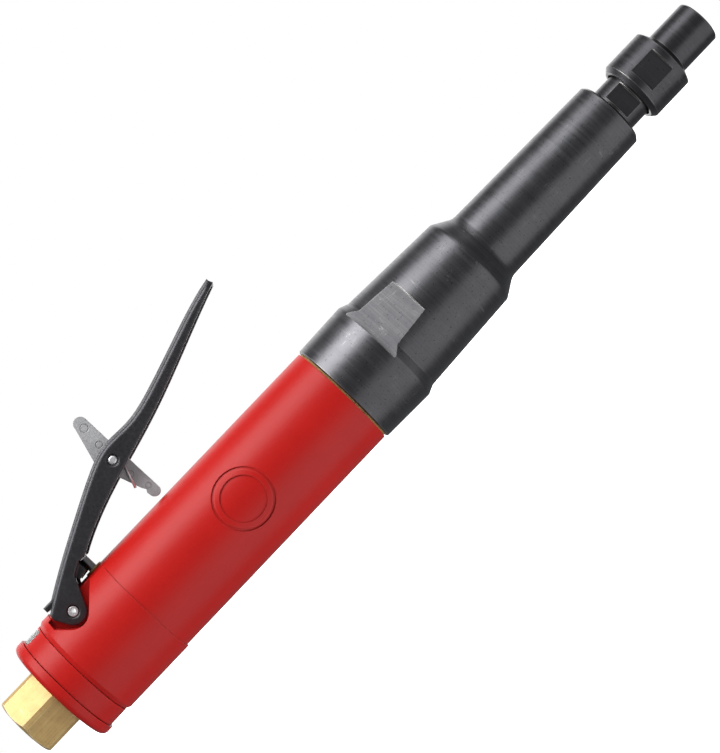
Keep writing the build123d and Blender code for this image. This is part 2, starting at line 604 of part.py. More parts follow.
def lever_plan():
    """Block with the lever's plan outline: parallel sides and a rounded tip."""
    x_rear = X_PIVOT - 8
    x_tip = X_PIVOT + CROWN[-1][0] + 1.2
    plan = Pos((x_rear + x_tip) / 2, 0) * Rectangle(x_tip - x_rear, 2 * CHEEK_OUTER)
    tip_corners = plan.vertices().sort_by(Axis.X)[-2:]
    plan = fillet(tip_corners, 5.0)
    return extrude(Plane.XY * plan, 2 * LATCH_PIVOT_HEIGHT)


def throttle_lever():
    """Lever: two cheeks, crowned web, rear tab, and the throttle pad with its stop ribs."""
    cheeks = side_plate(cheek_face(), -CHEEK_OUTER, CHEEK_OUTER)
    long_edges = cheeks.edges().filter_by(GeomType.BSPLINE).filter_by(
        lambda edge: abs(abs(edge.center().Y) - CHEEK_OUTER) < 0.01)
    top_edges = long_edges.sort_by(Axis.Z)[-2:]
    cheeks = fillet(top_edges, 1.1)
    under_web = band_face(WEB_THICKNESS, WEB_THICKNESS + 60)
    cheeks -= side_plate(under_web, -CHEEK_INNER, CHEEK_INNER)
    tab_x, crown_rear = lever_point(*CROWN[0])
    cheeks -= block((X_PIVOT - LEVER_REAR - 1, tab_x), (-CHEEK_INNER, CHEEK_INNER),
                    (0, LATCH_PIVOT_HEIGHT))
    web = side_plate(band_face(0, WEB_THICKNESS), -CHEEK_INNER - 0.4, CHEEK_INNER + 0.4)
    tab = block((X_PIVOT - LEVER_REAR, tab_x + 2.5), (-CHEEK_INNER + 1.2, CHEEK_INNER - 1.2),
                (crown_rear - TAB_THICKNESS, crown_rear))
    lever = (cheeks + web + tab) & lever_plan()
    slot_half = LATCH_HALF_THICKNESS + 0.5
    lever -= block((X_LATCH - WEB_SLOT_REAR, X_LATCH + WEB_SLOT_FRONT),
                   (-slot_half, slot_half),
                   (LATCH_PIVOT_HEIGHT - 10, LATCH_PIVOT_HEIGHT + 30))
    lever -= cross_pin(X_PIVOT, PIVOT_HEIGHT, LEVER_PIN_RADIUS + RUN, 20)
    lever -= cross_pin(X_LATCH, LATCH_PIVOT_HEIGHT, LATCH_PIN_RADIUS + FIT, 20)
    for x, z, radius in ((X_PIVOT, PIVOT_HEIGHT, LEVER_PIN_RADIUS),
                         (X_LATCH, LATCH_PIVOT_HEIGHT, LATCH_PIN_RADIUS)):
        recess = cross_pin(x, z, radius + PIN_RECESS, 20)
        recess -= cross_pin(x, z, radius + PIN_RECESS + 1, CHEEK_OUTER - PIN_RECESS_DEPTH)
        lever -= recess
    pad_span = (X_THROTTLE - THROTTLE_PIN_RADIUS, X_THROTTLE + THROTTLE_PIN_RADIUS)
    pad = block(pad_span, (-CHEEK_INNER, CHEEK_INNER),
                (THROTTLE_PAD_HEIGHT, THROTTLE_PAD_HEIGHT + PAD_THICKNESS))
    pad += block(pad_span, (-1.0, 1.0),
                 (THROTTLE_PAD_HEIGHT + 1.0, THROTTLE_PAD_HEIGHT + PAD_THICKNESS + 3.0))
    pin_rear = THROTTLE_ARM - THROTTLE_PIN_RADIUS - 0.1
    rib = make_face(Polyline(*[lever_point(along, height) for along, height in (
        (8.6, 8.2), (8.8, RIB_FOOT), (pin_rear, RIB_FOOT + 0.45), (pin_rear, PAD_RISE + 0.4),
        (8.6, PAD_RISE + 0.4))], close=True))
    for side in (-1, 1):
        inner, outer = sorted((side * (CHEEK_INNER - RIB_THICKNESS), side * CHEEK_INNER))
        pad += side_plate(rib, inner, outer)
    return lever + pad


def lever_pin():
    """Hollow roll pin through the lug, carrying the lever's cheeks."""
    pin = cross_pin(X_PIVOT, PIVOT_HEIGHT, LEVER_PIN_RADIUS, CHEEK_OUTER - 0.1)
    return pin - cross_pin(X_PIVOT, PIVOT_HEIGHT, LEVER_PIN_BORE, CHEEK_OUTER + 1)


def latch_face():
    """Side view of the latch: tapered upper arm, body on the pin and lower arm with a foot."""
    pivot = Vector(X_LATCH, LATCH_PIVOT_HEIGHT)
    top = pivot + Vector(1.1, LATCH_TOP_REACH)
    lean = math.radians(LATCH_FOOT_LEAN)
    foot = pivot + Vector(math.sin(lean), -math.cos(lean)) * LATCH_FOOT_REACH
    base_left = pivot + Vector(-5.0, 4.0)
    base_right = pivot + Vector(3.6, 4.0)
    low_left = pivot + Vector(-2.9, -5.2)
    low_right = pivot + Vector(3.9, -5.2)
    notch_low = foot + Vector(-2.15, 1.2)
    notch_high = foot + Vector(-2.3, 3.6)
    outline = Polyline(
        low_right, base_right, top + Vector(LATCH_TOP_RADIUS, 0))
    outline += ThreePointArc(top + Vector(LATCH_TOP_RADIUS, 0), top + Vector(0, LATCH_TOP_RADIUS),
                             top - Vector(LATCH_TOP_RADIUS, 0))
    outline += Polyline(top - Vector(LATCH_TOP_RADIUS, 0), base_left, low_left, notch_high,
                        foot + Vector(-1.5, 2.2), notch_low, foot - Vector(LATCH_FOOT_RADIUS, 0))
    outline += ThreePointArc(foot - Vector(LATCH_FOOT_RADIUS, 0),
                             foot - Vector(0, LATCH_FOOT_RADIUS),
                             foot + Vector(LATCH_FOOT_RADIUS, 0))
    outline += Line(foot + Vector(LATCH_FOOT_RADIUS, 0), low_right)
    return make_face(outline)


def lock_latch():
    """Die-cast latch with a boss on its far side and shallow ejector rings on both faces."""
    half = LATCH_HALF_THICKNESS
    latch = side_plate(latch_face(), -half, half)
    boss = cross_pin(X_LATCH, LATCH_PIVOT_HEIGHT, LATCH_BOSS_RADIUS, CHEEK_INNER - GAP)
    boss &= block((X_LATCH - 9, X_LATCH + 9), (0, CHEEK_OUTER),
                  (LATCH_PIVOT_HEIGHT - 9, LATCH_PIVOT_HEIGHT + 9))
    latch += boss
    latch -= cross_pin(X_LATCH, LATCH_PIVOT_HEIGHT, LATCH_PIN_RADIUS + RUN, 20)
    ring_depth = 0.15
    for along, height, radius in ((0.9, 14.4, 1.5), (0.4, 7.0, 1.3), (0.4, -7.2, 1.3),
                                  (1.9, -14.2, 1.1)):
        ring = cross_pin(X_LATCH + along, LATCH_PIVOT_HEIGHT + height, radius, 20)
        ring -= cross_pin(X_LATCH + along, LATCH_PIVOT_HEIGHT + height, radius - 0.25, 20)
        ring -= block((X_LATCH - 9, X_LATCH + 9), (-half + ring_depth, half - ring_depth),
                      (0, 2 * LATCH_PIVOT_HEIGHT))
        latch -= ring
    return latch


def latch_pin():
    """Domed pin through the cheeks that carries the latch."""
    pin = cross_pin(X_LATCH, LATCH_PIVOT_HEIGHT, LATCH_PIN_RADIUS, CHEEK_OUTER - 0.1)
    return fillet(pin.edges().filter_by(GeomType.CIRCLE), LATCH_PIN_DOME)


def latch_spring():
    """Torsion spring: coils around the pin, one leg down to the latch's notch."""
    wire = LATCH_SPRING_WIRE
    coil_radius = LATCH_PIN_RADIUS + RUN + wire + LATCH_SPRING_PLAY
    pitch = 2 * wire + 0.08
    y_near = -LATCH_HALF_THICKNESS - wire - 0.12
    coils = None
    for turn in range(LATCH_SPRING_TURNS):
        place = Pos(X_LATCH, y_near - turn * pitch, LATCH_PIVOT_HEIGHT) * Rot(90, 0, 0)
        ring = place * Torus(coil_radius, wire + 0.05)
        coils = ring if coils is None else coils + ring
    start = Vector(X_LATCH + coil_radius, y_near, LATCH_PIVOT_HEIGHT)
    end = Vector(X_LATCH - 1.6, y_near, LATCH_PIVOT_HEIGHT - 12.0)
    leg_axis = (end - start).normalized()
    leg = extrude(Plane(origin=start, z_dir=leg_axis) * Circle(wire), (end - start).length)
    return coils + leg


# ---------------------------------------------------------------- front steel housing
def joint_gasket():
    """Flat gasket between handle and steel collar."""
    return rod(X_GRIP_FRONT + FIT, X_COLLAR_REAR - FIT, GASKET_RADIUS, GASKET_RADIUS - 1.32)


def extension_housing():
    """Steel barrel in one piece: collar, taper and extension tube, stepped bore, two flats."""
    x_shoulder = (X_BEARINGS["spindle_rear_bearing"] - SPINDLE_BEARING["width"] / 2
                  - WASHER_SPACE)
    body = turned([
        (X_COLLAR_REAR, SPIGOT_RADIUS + FIT), (X_COLLAR_REAR, COLLAR_REAR_RADIUS - 0.4),
        (X_COLLAR_REAR + 0.4, COLLAR_REAR_RADIUS),
        (X_COLLAR_FRONT, COLLAR_FRONT_RADIUS), (X_TAPER_REAR, TAPER_REAR_RADIUS),
        (X_TAPER_FRONT, TAPER_FRONT_RADIUS), (X_TUBE_REAR, TUBE_REAR_RADIUS),
        (X_TUBE_FRONT - 0.8, TUBE_FRONT_RADIUS), (X_TUBE_FRONT, TUBE_FRONT_RADIUS - 0.8),
        (X_TUBE_FRONT, BARREL_BORE), (x_shoulder, BARREL_BORE), (x_shoulder, DRIVE_BORE),
        (X_CLAMP, DRIVE_BORE), (X_CLAMP, SPIGOT_RADIUS + FIT)])
    rounds = ((X_TUBE_REAR, TUBE_REAR_RADIUS, SHOULDER_ROUND),
              (X_TAPER_FRONT, TAPER_FRONT_RADIUS, TAPER_ROUND),
              (X_COLLAR_FRONT, COLLAR_FRONT_RADIUS, COLLAR_ROUND))
    for x, radius, size in rounds:
        rim = [edge for edge in body.edges().filter_by(GeomType.CIRCLE)
               if abs(edge.center().X - x) < 0.01 and abs(edge.radius - radius) < 0.01]
        body = fillet(rim, size)
    x_flat = X_COLLAR_FRONT - 0.7
    for slab in flat_cutters(x_flat, x_flat + BARREL_FLAT_LENGTH, BARREL_FLAT_AF,
                             COLLAR_FRONT_RADIUS + 5, tilt=BARREL_FLAT_TILT):
        body -= slab
    return body


def front_retainer():
    """Threaded ring that holds the front spindle bearing."""
    hole = SPINDLE_RADIUS + 1.35
    ring = rod(X_RETAINER_REAR, X_TUBE_FRONT - CASE, BARREL_BORE - FIT, hole)
    for angle in (0, 180):
        centre = Vector(0, 0, (BARREL_BORE + hole) / 2 + 0.325).rotate(Axis.X, angle + 90)
        place = Plane(origin=(X_TUBE_FRONT - CASE - 1.5, centre.Y, centre.Z), z_dir=(1, 0, 0))
        ring -= extrude(place * Circle(0.8), 2)
    return ring


# ---------------------------------------------------------------- motor
def barrel_insert():
    """Steel barrel in the handle, with the spigot that the extension screws on."""
    body = turned([
        (X_MOTOR_REAR - BACKHEAD_FLANGE, BACKHEAD_FLANGE_RADIUS + FIT),
        (X_MOTOR_REAR - BACKHEAD_FLANGE, INSERT_RADIUS), (X_COLLAR_REAR, INSERT_RADIUS),
        (X_COLLAR_REAR, SPIGOT_RADIUS), (X_COLLAR_REAR + SPIGOT_LENGTH, SPIGOT_RADIUS),
        (X_COLLAR_REAR + SPIGOT_LENGTH, INSERT_BORE), (X_MOTOR_REAR, INSERT_BORE),
        (X_MOTOR_REAR, BACKHEAD_FLANGE_RADIUS + FIT)])
    return body


def end_plate(x_rear, x_front, pocket_at_rear):
    """End plate with its bearing pocket and shaft hole."""
    plate = rod(x_rear, x_front, MOTOR_RADIUS, SHAFT_RADIUS + 0.6)
    pocket = ROTOR_BEARING["width"] + 1.1
    if pocket_at_rear:
        plate -= rod(x_rear, x_rear + pocket, ROTOR_BEARING["outside"] + FIT)
    else:
        plate -= rod(x_front - pocket, x_front, ROTOR_BEARING["outside"] + FIT)
    return plate


def rear_end_plate():
    """Rear end plate with the air holes that feed the cylinder."""
    plate = end_plate(X_MOTOR_REAR, X_CYLINDER_REAR, True)
    for angle in (60, 75, 90, 105, 120):
        centre = Vector(0, MOTOR_RADIUS - 2.26, 0).rotate(Axis.X, angle)
        place = Plane(origin=(X_MOTOR_REAR, centre.Y, centre.Z), z_dir=(1, 0, 0))
        plate -= extrude(place * Circle(1.1), END_PLATE_LENGTH)
    return plate


def cylinder():
    """Motor cylinder: off-centre bore and a row of exhaust ports."""
    body = rod(X_CYLINDER_REAR, X_CYLINDER_FRONT, MOTOR_RADIUS)
    body -= Pos(0, 0, -CYLINDER_OFFSET) * rod(X_CYLINDER_REAR, X_CYLINDER_FRONT, CYLINDER_BORE)
    ports = 6
    pitch = CYLINDER_LENGTH / (ports + 1)
    for port in range(ports):
        x = X_CYLINDER_REAR + pitch * (port + 1)
        body -= upright(x, -MOTOR_RADIUS - 1, -CYLINDER_BORE + 1, 1.6)
    return body


def vane_blank(angle, thickness, height, end_gap):
    """Upright plate in the rotor's rim at the given angle."""
    top = ROTOR_RADIUS - ROTOR_GAP
    plate = block((X_CYLINDER_REAR + end_gap, X_CYLINDER_FRONT - end_gap),
                  (-thickness / 2, thickness / 2), (top - height, top))
    return Rot(angle, 0, 0) * plate


def rotor():
    """Slotted rotor with its shafts and hexagonal drive end."""
    x_rear = X_MOTOR_REAR + 0.6
    x_front = X_CLAMP + 1.0
    body = rod(X_CYLINDER_REAR + CASE, X_CYLINDER_FRONT - CASE, ROTOR_RADIUS)
    body += rod(x_rear, x_front, SHAFT_RADIUS - FIT)
    body += hex_bar(x_front, x_front + COUPLING_LENGTH / 2 - 0.6, DRIVE_HEX_AF)
    for angle in angles(VANE_COUNT):
        slot = vane_blank(angle, VANE_THICKNESS, VANE_HEIGHT + 0.4, 0)
        body -= slot + Rot(angle, 0, 0) * block(
            (X_CYLINDER_REAR, X_CYLINDER_FRONT), (-VANE_THICKNESS / 2, VANE_THICKNESS / 2),
            (ROTOR_RADIUS - 1, ROTOR_RADIUS + 1))
    return body


def vane(angle):
    """One sliding vane, pushed home in its slot."""
    return vane_blank(angle, VANE_THICKNESS - 2 * RUN, VANE_HEIGHT, CASE + 0.05)


# ---------------------------------------------------------------- spindle line
def drive_coupling():
    """Sleeve with a hexagonal hole that joins rotor and spindle."""
    x_rear = X_COUPLING_FRONT - COUPLING_LENGTH
    return (rod(x_rear, X_COUPLING_FRONT, COUPLING_RADIUS)
            - hex_bar(x_rear, X_COUPLING_FRONT, DRIVE_HEX_AF + 2 * RUN))


def extension_spindle():
    """Long spindle: hexagonal drive end at the rear, thread for the collet body in front."""
    x_middle = X_COUPLING_FRONT - COUPLING_LENGTH / 2
    x_thread = X_TUBE_FRONT - CASE
    body = hex_bar(x_middle + 0.6, X_COUPLING_FRONT + 1.0, DRIVE_HEX_AF)
    body += rod(X_COUPLING_FRONT + 1.0, x_thread + 6.0, SPINDLE_RADIUS - FIT)
    return body


def bearing_spacer():
    """Tube between the inner rings of the two spindle bearings."""
    half = SPINDLE_BEARING["width"] / 2
    return rod(X_BEARINGS["spindle_rear_bearing"] + half + FIT,
               X_BEARINGS["spindle_front_bearing"] - half - FIT,
               SPINDLE_RADIUS + SPACER_WALL, SPINDLE_RADIUS + FIT)


def wave_washer():
    """Preload washer behind the rear spindle bearing's outer ring."""
    x_front = X_BEARINGS["spindle_rear_bearing"] - SPINDLE_BEARING["width"] / 2
    return rod(x_front - WASHER_SPACE + 0.05, x_front - 0.05, BARREL_BORE - 0.2, DRIVE_BORE + 0.2)


def collet_body():
    """Neck with two wrench flats, thread for the nut and taper for the collet."""
    x_rear = X_TUBE_FRONT + 0.35
    x_neck_front = X_NUT_RIM + 1.6
    x_front = -COLLET_LENGTH + COLLET_TAPER_LENGTH
    body = turned([
        (x_rear, SPINDLE_RADIUS), (x_rear, NECK_RADIUS - 0.4), (x_rear + 0.4, NECK_RADIUS),
        (x_neck_front, NECK_RADIUS), (x_neck_front, NUT_THREAD_RADIUS - RUN),
        (x_front, NUT_THREAD_RADIUS - RUN), (x_front, COLLET_RADIUS + 0.1),
        (-COLLET_LENGTH, COLLET_TAIL_RADIUS + 0.1), (-COLLET_LENGTH - 0.4, COLLET_BORE + 0.3),
        (x_rear + 8.0, COLLET_BORE + 0.3), (x_rear + 8.0, SPINDLE_RADIUS)])
    x_flat = X_TUBE_FRONT + 1.6
    for slab in flat_cutters(x_flat, x_flat + NECK_FLAT_LENGTH, NECK_FLAT_AF, NECK_RADIUS + 2):
        body -= slab
    return body


def collet():
    """Collet with three slots, cones at both ends and the shank bore."""
    body = turned([
        (0, COLLET_BORE), (0, COLLET_MOUTH_RADIUS), (-3.0, COLLET_RADIUS),
        (-COLLET_LENGTH + COLLET_TAPER_LENGTH, COLLET_RADIUS),
        (-COLLET_LENGTH, COLLET_TAIL_RADIUS), (-COLLET_LENGTH, COLLET_BORE)])
    for angle in angles(3, 90):
        slot = block((-COLLET_LENGTH + 6.0, 1), (-COLLET_SLOT / 2, COLLET_SLOT / 2), (0, 10))
        body -= Rot(angle, 0, 0) * slot
    return body


def collet_nut():
    """Nut with its long nose, sunk rear bore and two closed wrench flats."""
    x_thread_front = -COLLET_LENGTH + COLLET_TAPER_LENGTH + GAP
    mouth = COLLET_MOUTH_RADIUS + RUN
    cone_gap = 0.12
    body = turned([
        (X_NUT_FACE, mouth), (X_NUT_FACE, NOSE_RADIUS - 0.5), (X_NUT_FACE - 0.5, NOSE_RADIUS),
        (X_NOSE_REAR, NOSE_RADIUS), (X_NUT_FRONT, NUT_RADIUS), (X_NUT_REAR, NUT_RADIUS),
        (X_NUT_RIM, NUT_RADIUS - 1.5), (X_NUT_RIM, NECK_RADIUS + 0.7),
        (X_NUT_RIM + 2.6, NECK_RADIUS + 0.7), (X_NUT_RIM + 2.6, NUT_THREAD_RADIUS),
        (x_thread_front, NUT_THREAD_RADIUS), (x_thread_front, COLLET_RADIUS + cone_gap),
        (-3.0 + 0.1, COLLET_RADIUS + cone_gap), (-0.1, mouth)])
    x_flat = (X_NUT_FRONT + X_NUT_REAR) / 2 - NUT_FLAT_LENGTH / 2
    for slab in flat_cutters(x_flat, x_flat + NUT_FLAT_LENGTH, NUT_FLAT_AF, NUT_RADIUS + 2):
        body -= slab
    return body


# ---------------------------------------------------------------- ball bearings
def bearing_parts(x_centre, bore, outside, width, ball, count):
    """Outer ring, inner ring, balls and cage of one deep-groove ball bearing."""
    pitch = (bore + outside) / 2
    land = ball * 0.72
    rear, front = x_centre - width / 2, x_centre + width / 2
    groove = Pos(x_centre, 0, 0) * Rot(0, 90, 0) * Torus(pitch, ball + 0.04)
    outer = rod(rear, front, outside, pitch + land) - groove
    inner = rod(rear, front, pitch - land, bore) - groove
    balls = [Rot(angle, 0, 0) * Pos(x_centre, 0, pitch) * Sphere(ball) for angle in angles(count)]
    cage = rod(x_centre - ball * 1.35, x_centre + ball * 1.35, pitch + ball * 0.35,
               pitch - ball * 0.35)
    pocket = upright(x_centre, 0, outside, ball + 0.08)
    for angle in angles(count):
        cage -= Rot(angle, 0, 0) * pocket
    return {"outer_ring": outer, "inner_ring": inner, "balls": Compound(balls), "cage": cage}


# ---------------------------------------------------------------- assembly
def build_nodes():
    """Every node of the tool by name."""
    makers = [
        inlet_bushing, inlet_screen, rear_cap, exhaust_deflector, exhaust_screen,
        deflector_oring, muffler_pad, grip_housing, backhead, valve_seat, tilt_valve,
        valve_spring, throttle_bush, throttle_pin_oring, throttle_pin, throttle_lever,
        lever_pin, lock_latch, latch_pin, latch_spring, joint_gasket, extension_housing,
        front_retainer, barrel_insert, rear_end_plate, cylinder, rotor, drive_coupling,
        extension_spindle, bearing_spacer, wave_washer, collet_body, collet, collet_nut]
    nodes = {make.__name__: make() for make in makers}
    nodes["front_end_plate"] = end_plate(X_CYLINDER_FRONT, X_CLAMP, False)
    for index, angle in enumerate(angles(VANE_COUNT), start=1):
        nodes[f"vane_{index}"] = vane(angle)
    for name, x_centre in X_BEARINGS.items():
        sizes = ROTOR_BEARING if name.startswith("rotor") else SPINDLE_BEARING
        for piece, shape in bearing_parts(x_centre, **sizes).items():
            nodes[f"{name}_{piece}"] = shape
    return nodes


def main():
    os.makedirs("parts", exist_ok=True)
    for name, shape in build_nodes().items():
        export_step(single(shape), f"parts/{name}.step")


if __name__ == "__main__":
    main()
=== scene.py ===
"""Extended straight die grinder: finishes, woven exhaust screen and a plain studio."""
import json
import logging
import math
from dataclasses import dataclass, field
from enum import Enum
from typing import Any, Iterable, Sequence

import bmesh
import bpy
from mathutils import Matrix, Vector

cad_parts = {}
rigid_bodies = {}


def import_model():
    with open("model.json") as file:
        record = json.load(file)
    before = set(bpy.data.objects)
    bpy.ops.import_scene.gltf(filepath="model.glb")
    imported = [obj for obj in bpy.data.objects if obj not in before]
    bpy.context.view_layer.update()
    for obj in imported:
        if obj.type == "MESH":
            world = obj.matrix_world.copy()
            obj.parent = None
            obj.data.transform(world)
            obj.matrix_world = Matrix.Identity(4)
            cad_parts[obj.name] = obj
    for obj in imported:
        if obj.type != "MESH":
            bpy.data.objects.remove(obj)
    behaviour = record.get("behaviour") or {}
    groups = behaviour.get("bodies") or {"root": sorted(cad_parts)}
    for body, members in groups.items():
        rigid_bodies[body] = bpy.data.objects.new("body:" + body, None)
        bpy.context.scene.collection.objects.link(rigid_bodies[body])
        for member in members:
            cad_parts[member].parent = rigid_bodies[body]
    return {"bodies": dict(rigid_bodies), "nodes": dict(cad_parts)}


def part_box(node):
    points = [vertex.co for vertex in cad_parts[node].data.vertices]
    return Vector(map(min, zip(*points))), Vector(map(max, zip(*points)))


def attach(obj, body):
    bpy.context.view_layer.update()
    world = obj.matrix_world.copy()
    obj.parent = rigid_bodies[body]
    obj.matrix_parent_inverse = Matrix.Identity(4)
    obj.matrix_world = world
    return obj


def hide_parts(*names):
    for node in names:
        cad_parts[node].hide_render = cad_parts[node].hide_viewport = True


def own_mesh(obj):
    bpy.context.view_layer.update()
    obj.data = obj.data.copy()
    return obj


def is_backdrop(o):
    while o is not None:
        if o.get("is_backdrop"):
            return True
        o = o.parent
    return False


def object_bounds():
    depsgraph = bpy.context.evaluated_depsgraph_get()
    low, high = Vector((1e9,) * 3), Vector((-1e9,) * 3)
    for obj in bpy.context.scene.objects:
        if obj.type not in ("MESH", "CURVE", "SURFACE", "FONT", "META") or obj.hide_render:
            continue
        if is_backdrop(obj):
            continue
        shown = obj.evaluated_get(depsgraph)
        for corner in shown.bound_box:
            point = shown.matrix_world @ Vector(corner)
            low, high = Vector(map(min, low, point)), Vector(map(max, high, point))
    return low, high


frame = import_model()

LOG = logging.getLogger("die_grinder")
MM = 0.001
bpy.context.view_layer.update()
FLAT_DEPTH_MM = 0.04         # how near a flat's plane a point counts as on it
SCRATCH_LONG_MM = 22.2222    # length of scratches along the tool
SCRATCH_AROUND_MM = 20.0     # length of scratches around the tool
SCRATCH_APART_MM = 1.612903  # distance from one scratch to the next
SCRATCH_PATCH_MM = 7.0       # size of the patches that have scratches
GRIT_MM = 0.55               # size of pits, coarser than real ones so that they show
FLAT_ROUGHNESS = 0.52
COIL_STEPS = 24              # straight runs in one coil of a spring
FLOOR_SIDES = 64


# ------------------------------------------------------------------ small helpers
def linear(hex_colour: str) -> tuple[float, float, float, float]:
    """Turn an sRGB hex colour into a linear RGBA colour.

    Args:
        hex_colour: Colour as "#RRGGBB".

    Returns:
        The four linear components, alpha 1.
    """
    channels = [int(hex_colour[i:i + 2], 16) / 255 for i in (1, 3, 5)]
    levels = [c / 12.92 if c <= 0.04045 else ((c + 0.055) / 1.055) ** 2.4 for c in channels]
    return (levels[0], levels[1], levels[2], 1.0)


def per_mm(size_mm: float) -> float:
    """Pattern scale, in repeats per metre, for a real size in millimetres."""
    return 1.0 / (size_mm * MM)


def add_node(tree: bpy.types.NodeTree, kind: str, inputs: dict[Any, Any] | None = None,
             **settings: Any) -> bpy.types.Node:
    """Add a node with its settings, values and links.

    Args:
        tree: Node tree that gets the node.
        kind: Node type, such as "ShaderNodeMix".
        inputs: Input name or index to a value, or to the output socket it is linked from.
        **settings: Properties of the node itself.

    Returns:
        The new node.
    """
    node = tree.nodes.new(kind)
    for name, value in settings.items():
        setattr(node, name, value)
    for key, value in (inputs or {}).items():
        if isinstance(value, bpy.types.NodeSocket):
            tree.links.new(value, node.inputs[key])
        else:
            node.inputs[key].default_value = value
    return node


# ------------------------------------------------------------------ finishes
class Marks(Enum):
    """Which way the cutter, die or grinding wheel left its lines."""

    AROUND = "around the axis, as turning leaves them"
    ALONG = "along the axis, as drawing leaves them"
    NONE = "no lines, as casting and tumbling leave it"


@dataclass(frozen=True)
class Flat:
    """A pair of milled wrench flats.

    Attributes:
        across_mm: Distance across the two flats.
        tilt_deg: Turn of the flats about the axis, from facing -Y towards +Z.
        x_mm: Where the flats start and end along the tool.
    """

    across_mm: float
    tilt_deg: float
    x_mm: tuple[float, float]


@dataclass(frozen=True)
class Finish:
    """What every finish shares: a name and a way to become a material."""

    name: str

    def material(self) -> bpy.types.Material:
        """Return the finish's material, made once."""
        made = bpy.data.materials.get(self.name)
        if made is None:
            made = bpy.data.materials.new(self.name)
            made.use_nodes = True
            tree = made.node_tree
            tree.nodes.clear()
            shader = add_node(tree, "ShaderNodeBsdfPrincipled")
            self.wire(tree, shader)
            add_node(tree, "ShaderNodeOutputMaterial", {"Surface": shader.outputs["BSDF"]})
        return made

    def wire(self, tree: bpy.types.NodeTree, shader: bpy.types.Node) -> None:
        """Link the finish's pattern to the shader; each finish has its own."""
        raise NotImplementedError


def edge_mask(tree: bpy.types.NodeTree, radius_mm: float) -> bpy.types.NodeSocket:
    """Mask that is 1 on sharp edges and 0 on open faces.

    Args:
        tree: Material's node tree.
        radius_mm: How far from the edge the mask reaches.

    Returns:
        The mask's output socket.
    """
    rounded = add_node(tree, "ShaderNodeBevel", {"Radius": radius_mm * MM}, samples=6)
    plain = add_node(tree, "ShaderNodeNewGeometry")
    turn = add_node(tree, "ShaderNodeVectorMath",
                    {0: rounded.outputs["Normal"], 1: plain.outputs["Normal"]},
                    operation="DOT_PRODUCT")
    mask = add_node(tree, "ShaderNodeMapRange",
                    {"Value": turn.outputs["Value"], "From Min": 0.996, "From Max": 0.93})
    return mask.outputs["Result"]


def flat_mask(tree: bpy.types.NodeTree, flat: Flat) -> bpy.types.NodeSocket:
    """Mask that is 1 on a pair of milled flats.

    Args:
        tree: Material's node tree.
        flat: Where the flats are.

    Returns:
        The mask's output socket.
    """
    place = add_node(tree, "ShaderNodeTexCoord")
    lean = math.radians(flat.tilt_deg)
    facing = (0.0, -math.cos(lean), math.sin(lean))
    reach = add_node(tree, "ShaderNodeVectorMath", {0: place.outputs["Object"], 1: facing},
                     operation="DOT_PRODUCT")
    depth = add_node(tree, "ShaderNodeMath", {0: reach.outputs["Value"]}, operation="ABSOLUTE")
    near = add_node(tree, "ShaderNodeMath", {0: depth.outputs[0], 1: flat.across_mm / 2 * MM,
                                             2: FLAT_DEPTH_MM * MM}, operation="COMPARE")
    along = add_node(tree, "ShaderNodeSeparateXYZ", {0: place.outputs["Object"]})
    middle = (flat.x_mm[0] + flat.x_mm[1]) / 2 * MM
    half = (flat.x_mm[1] - flat.x_mm[0]) / 2 * MM
    inside = add_node(tree, "ShaderNodeMath", {0: along.outputs["X"], 1: middle, 2: half},
                      operation="COMPARE")
    both = add_node(tree, "ShaderNodeMath", {0: near.outputs[0], 1: inside.outputs[0]},
                    operation="MULTIPLY")
    return both.outputs[0]


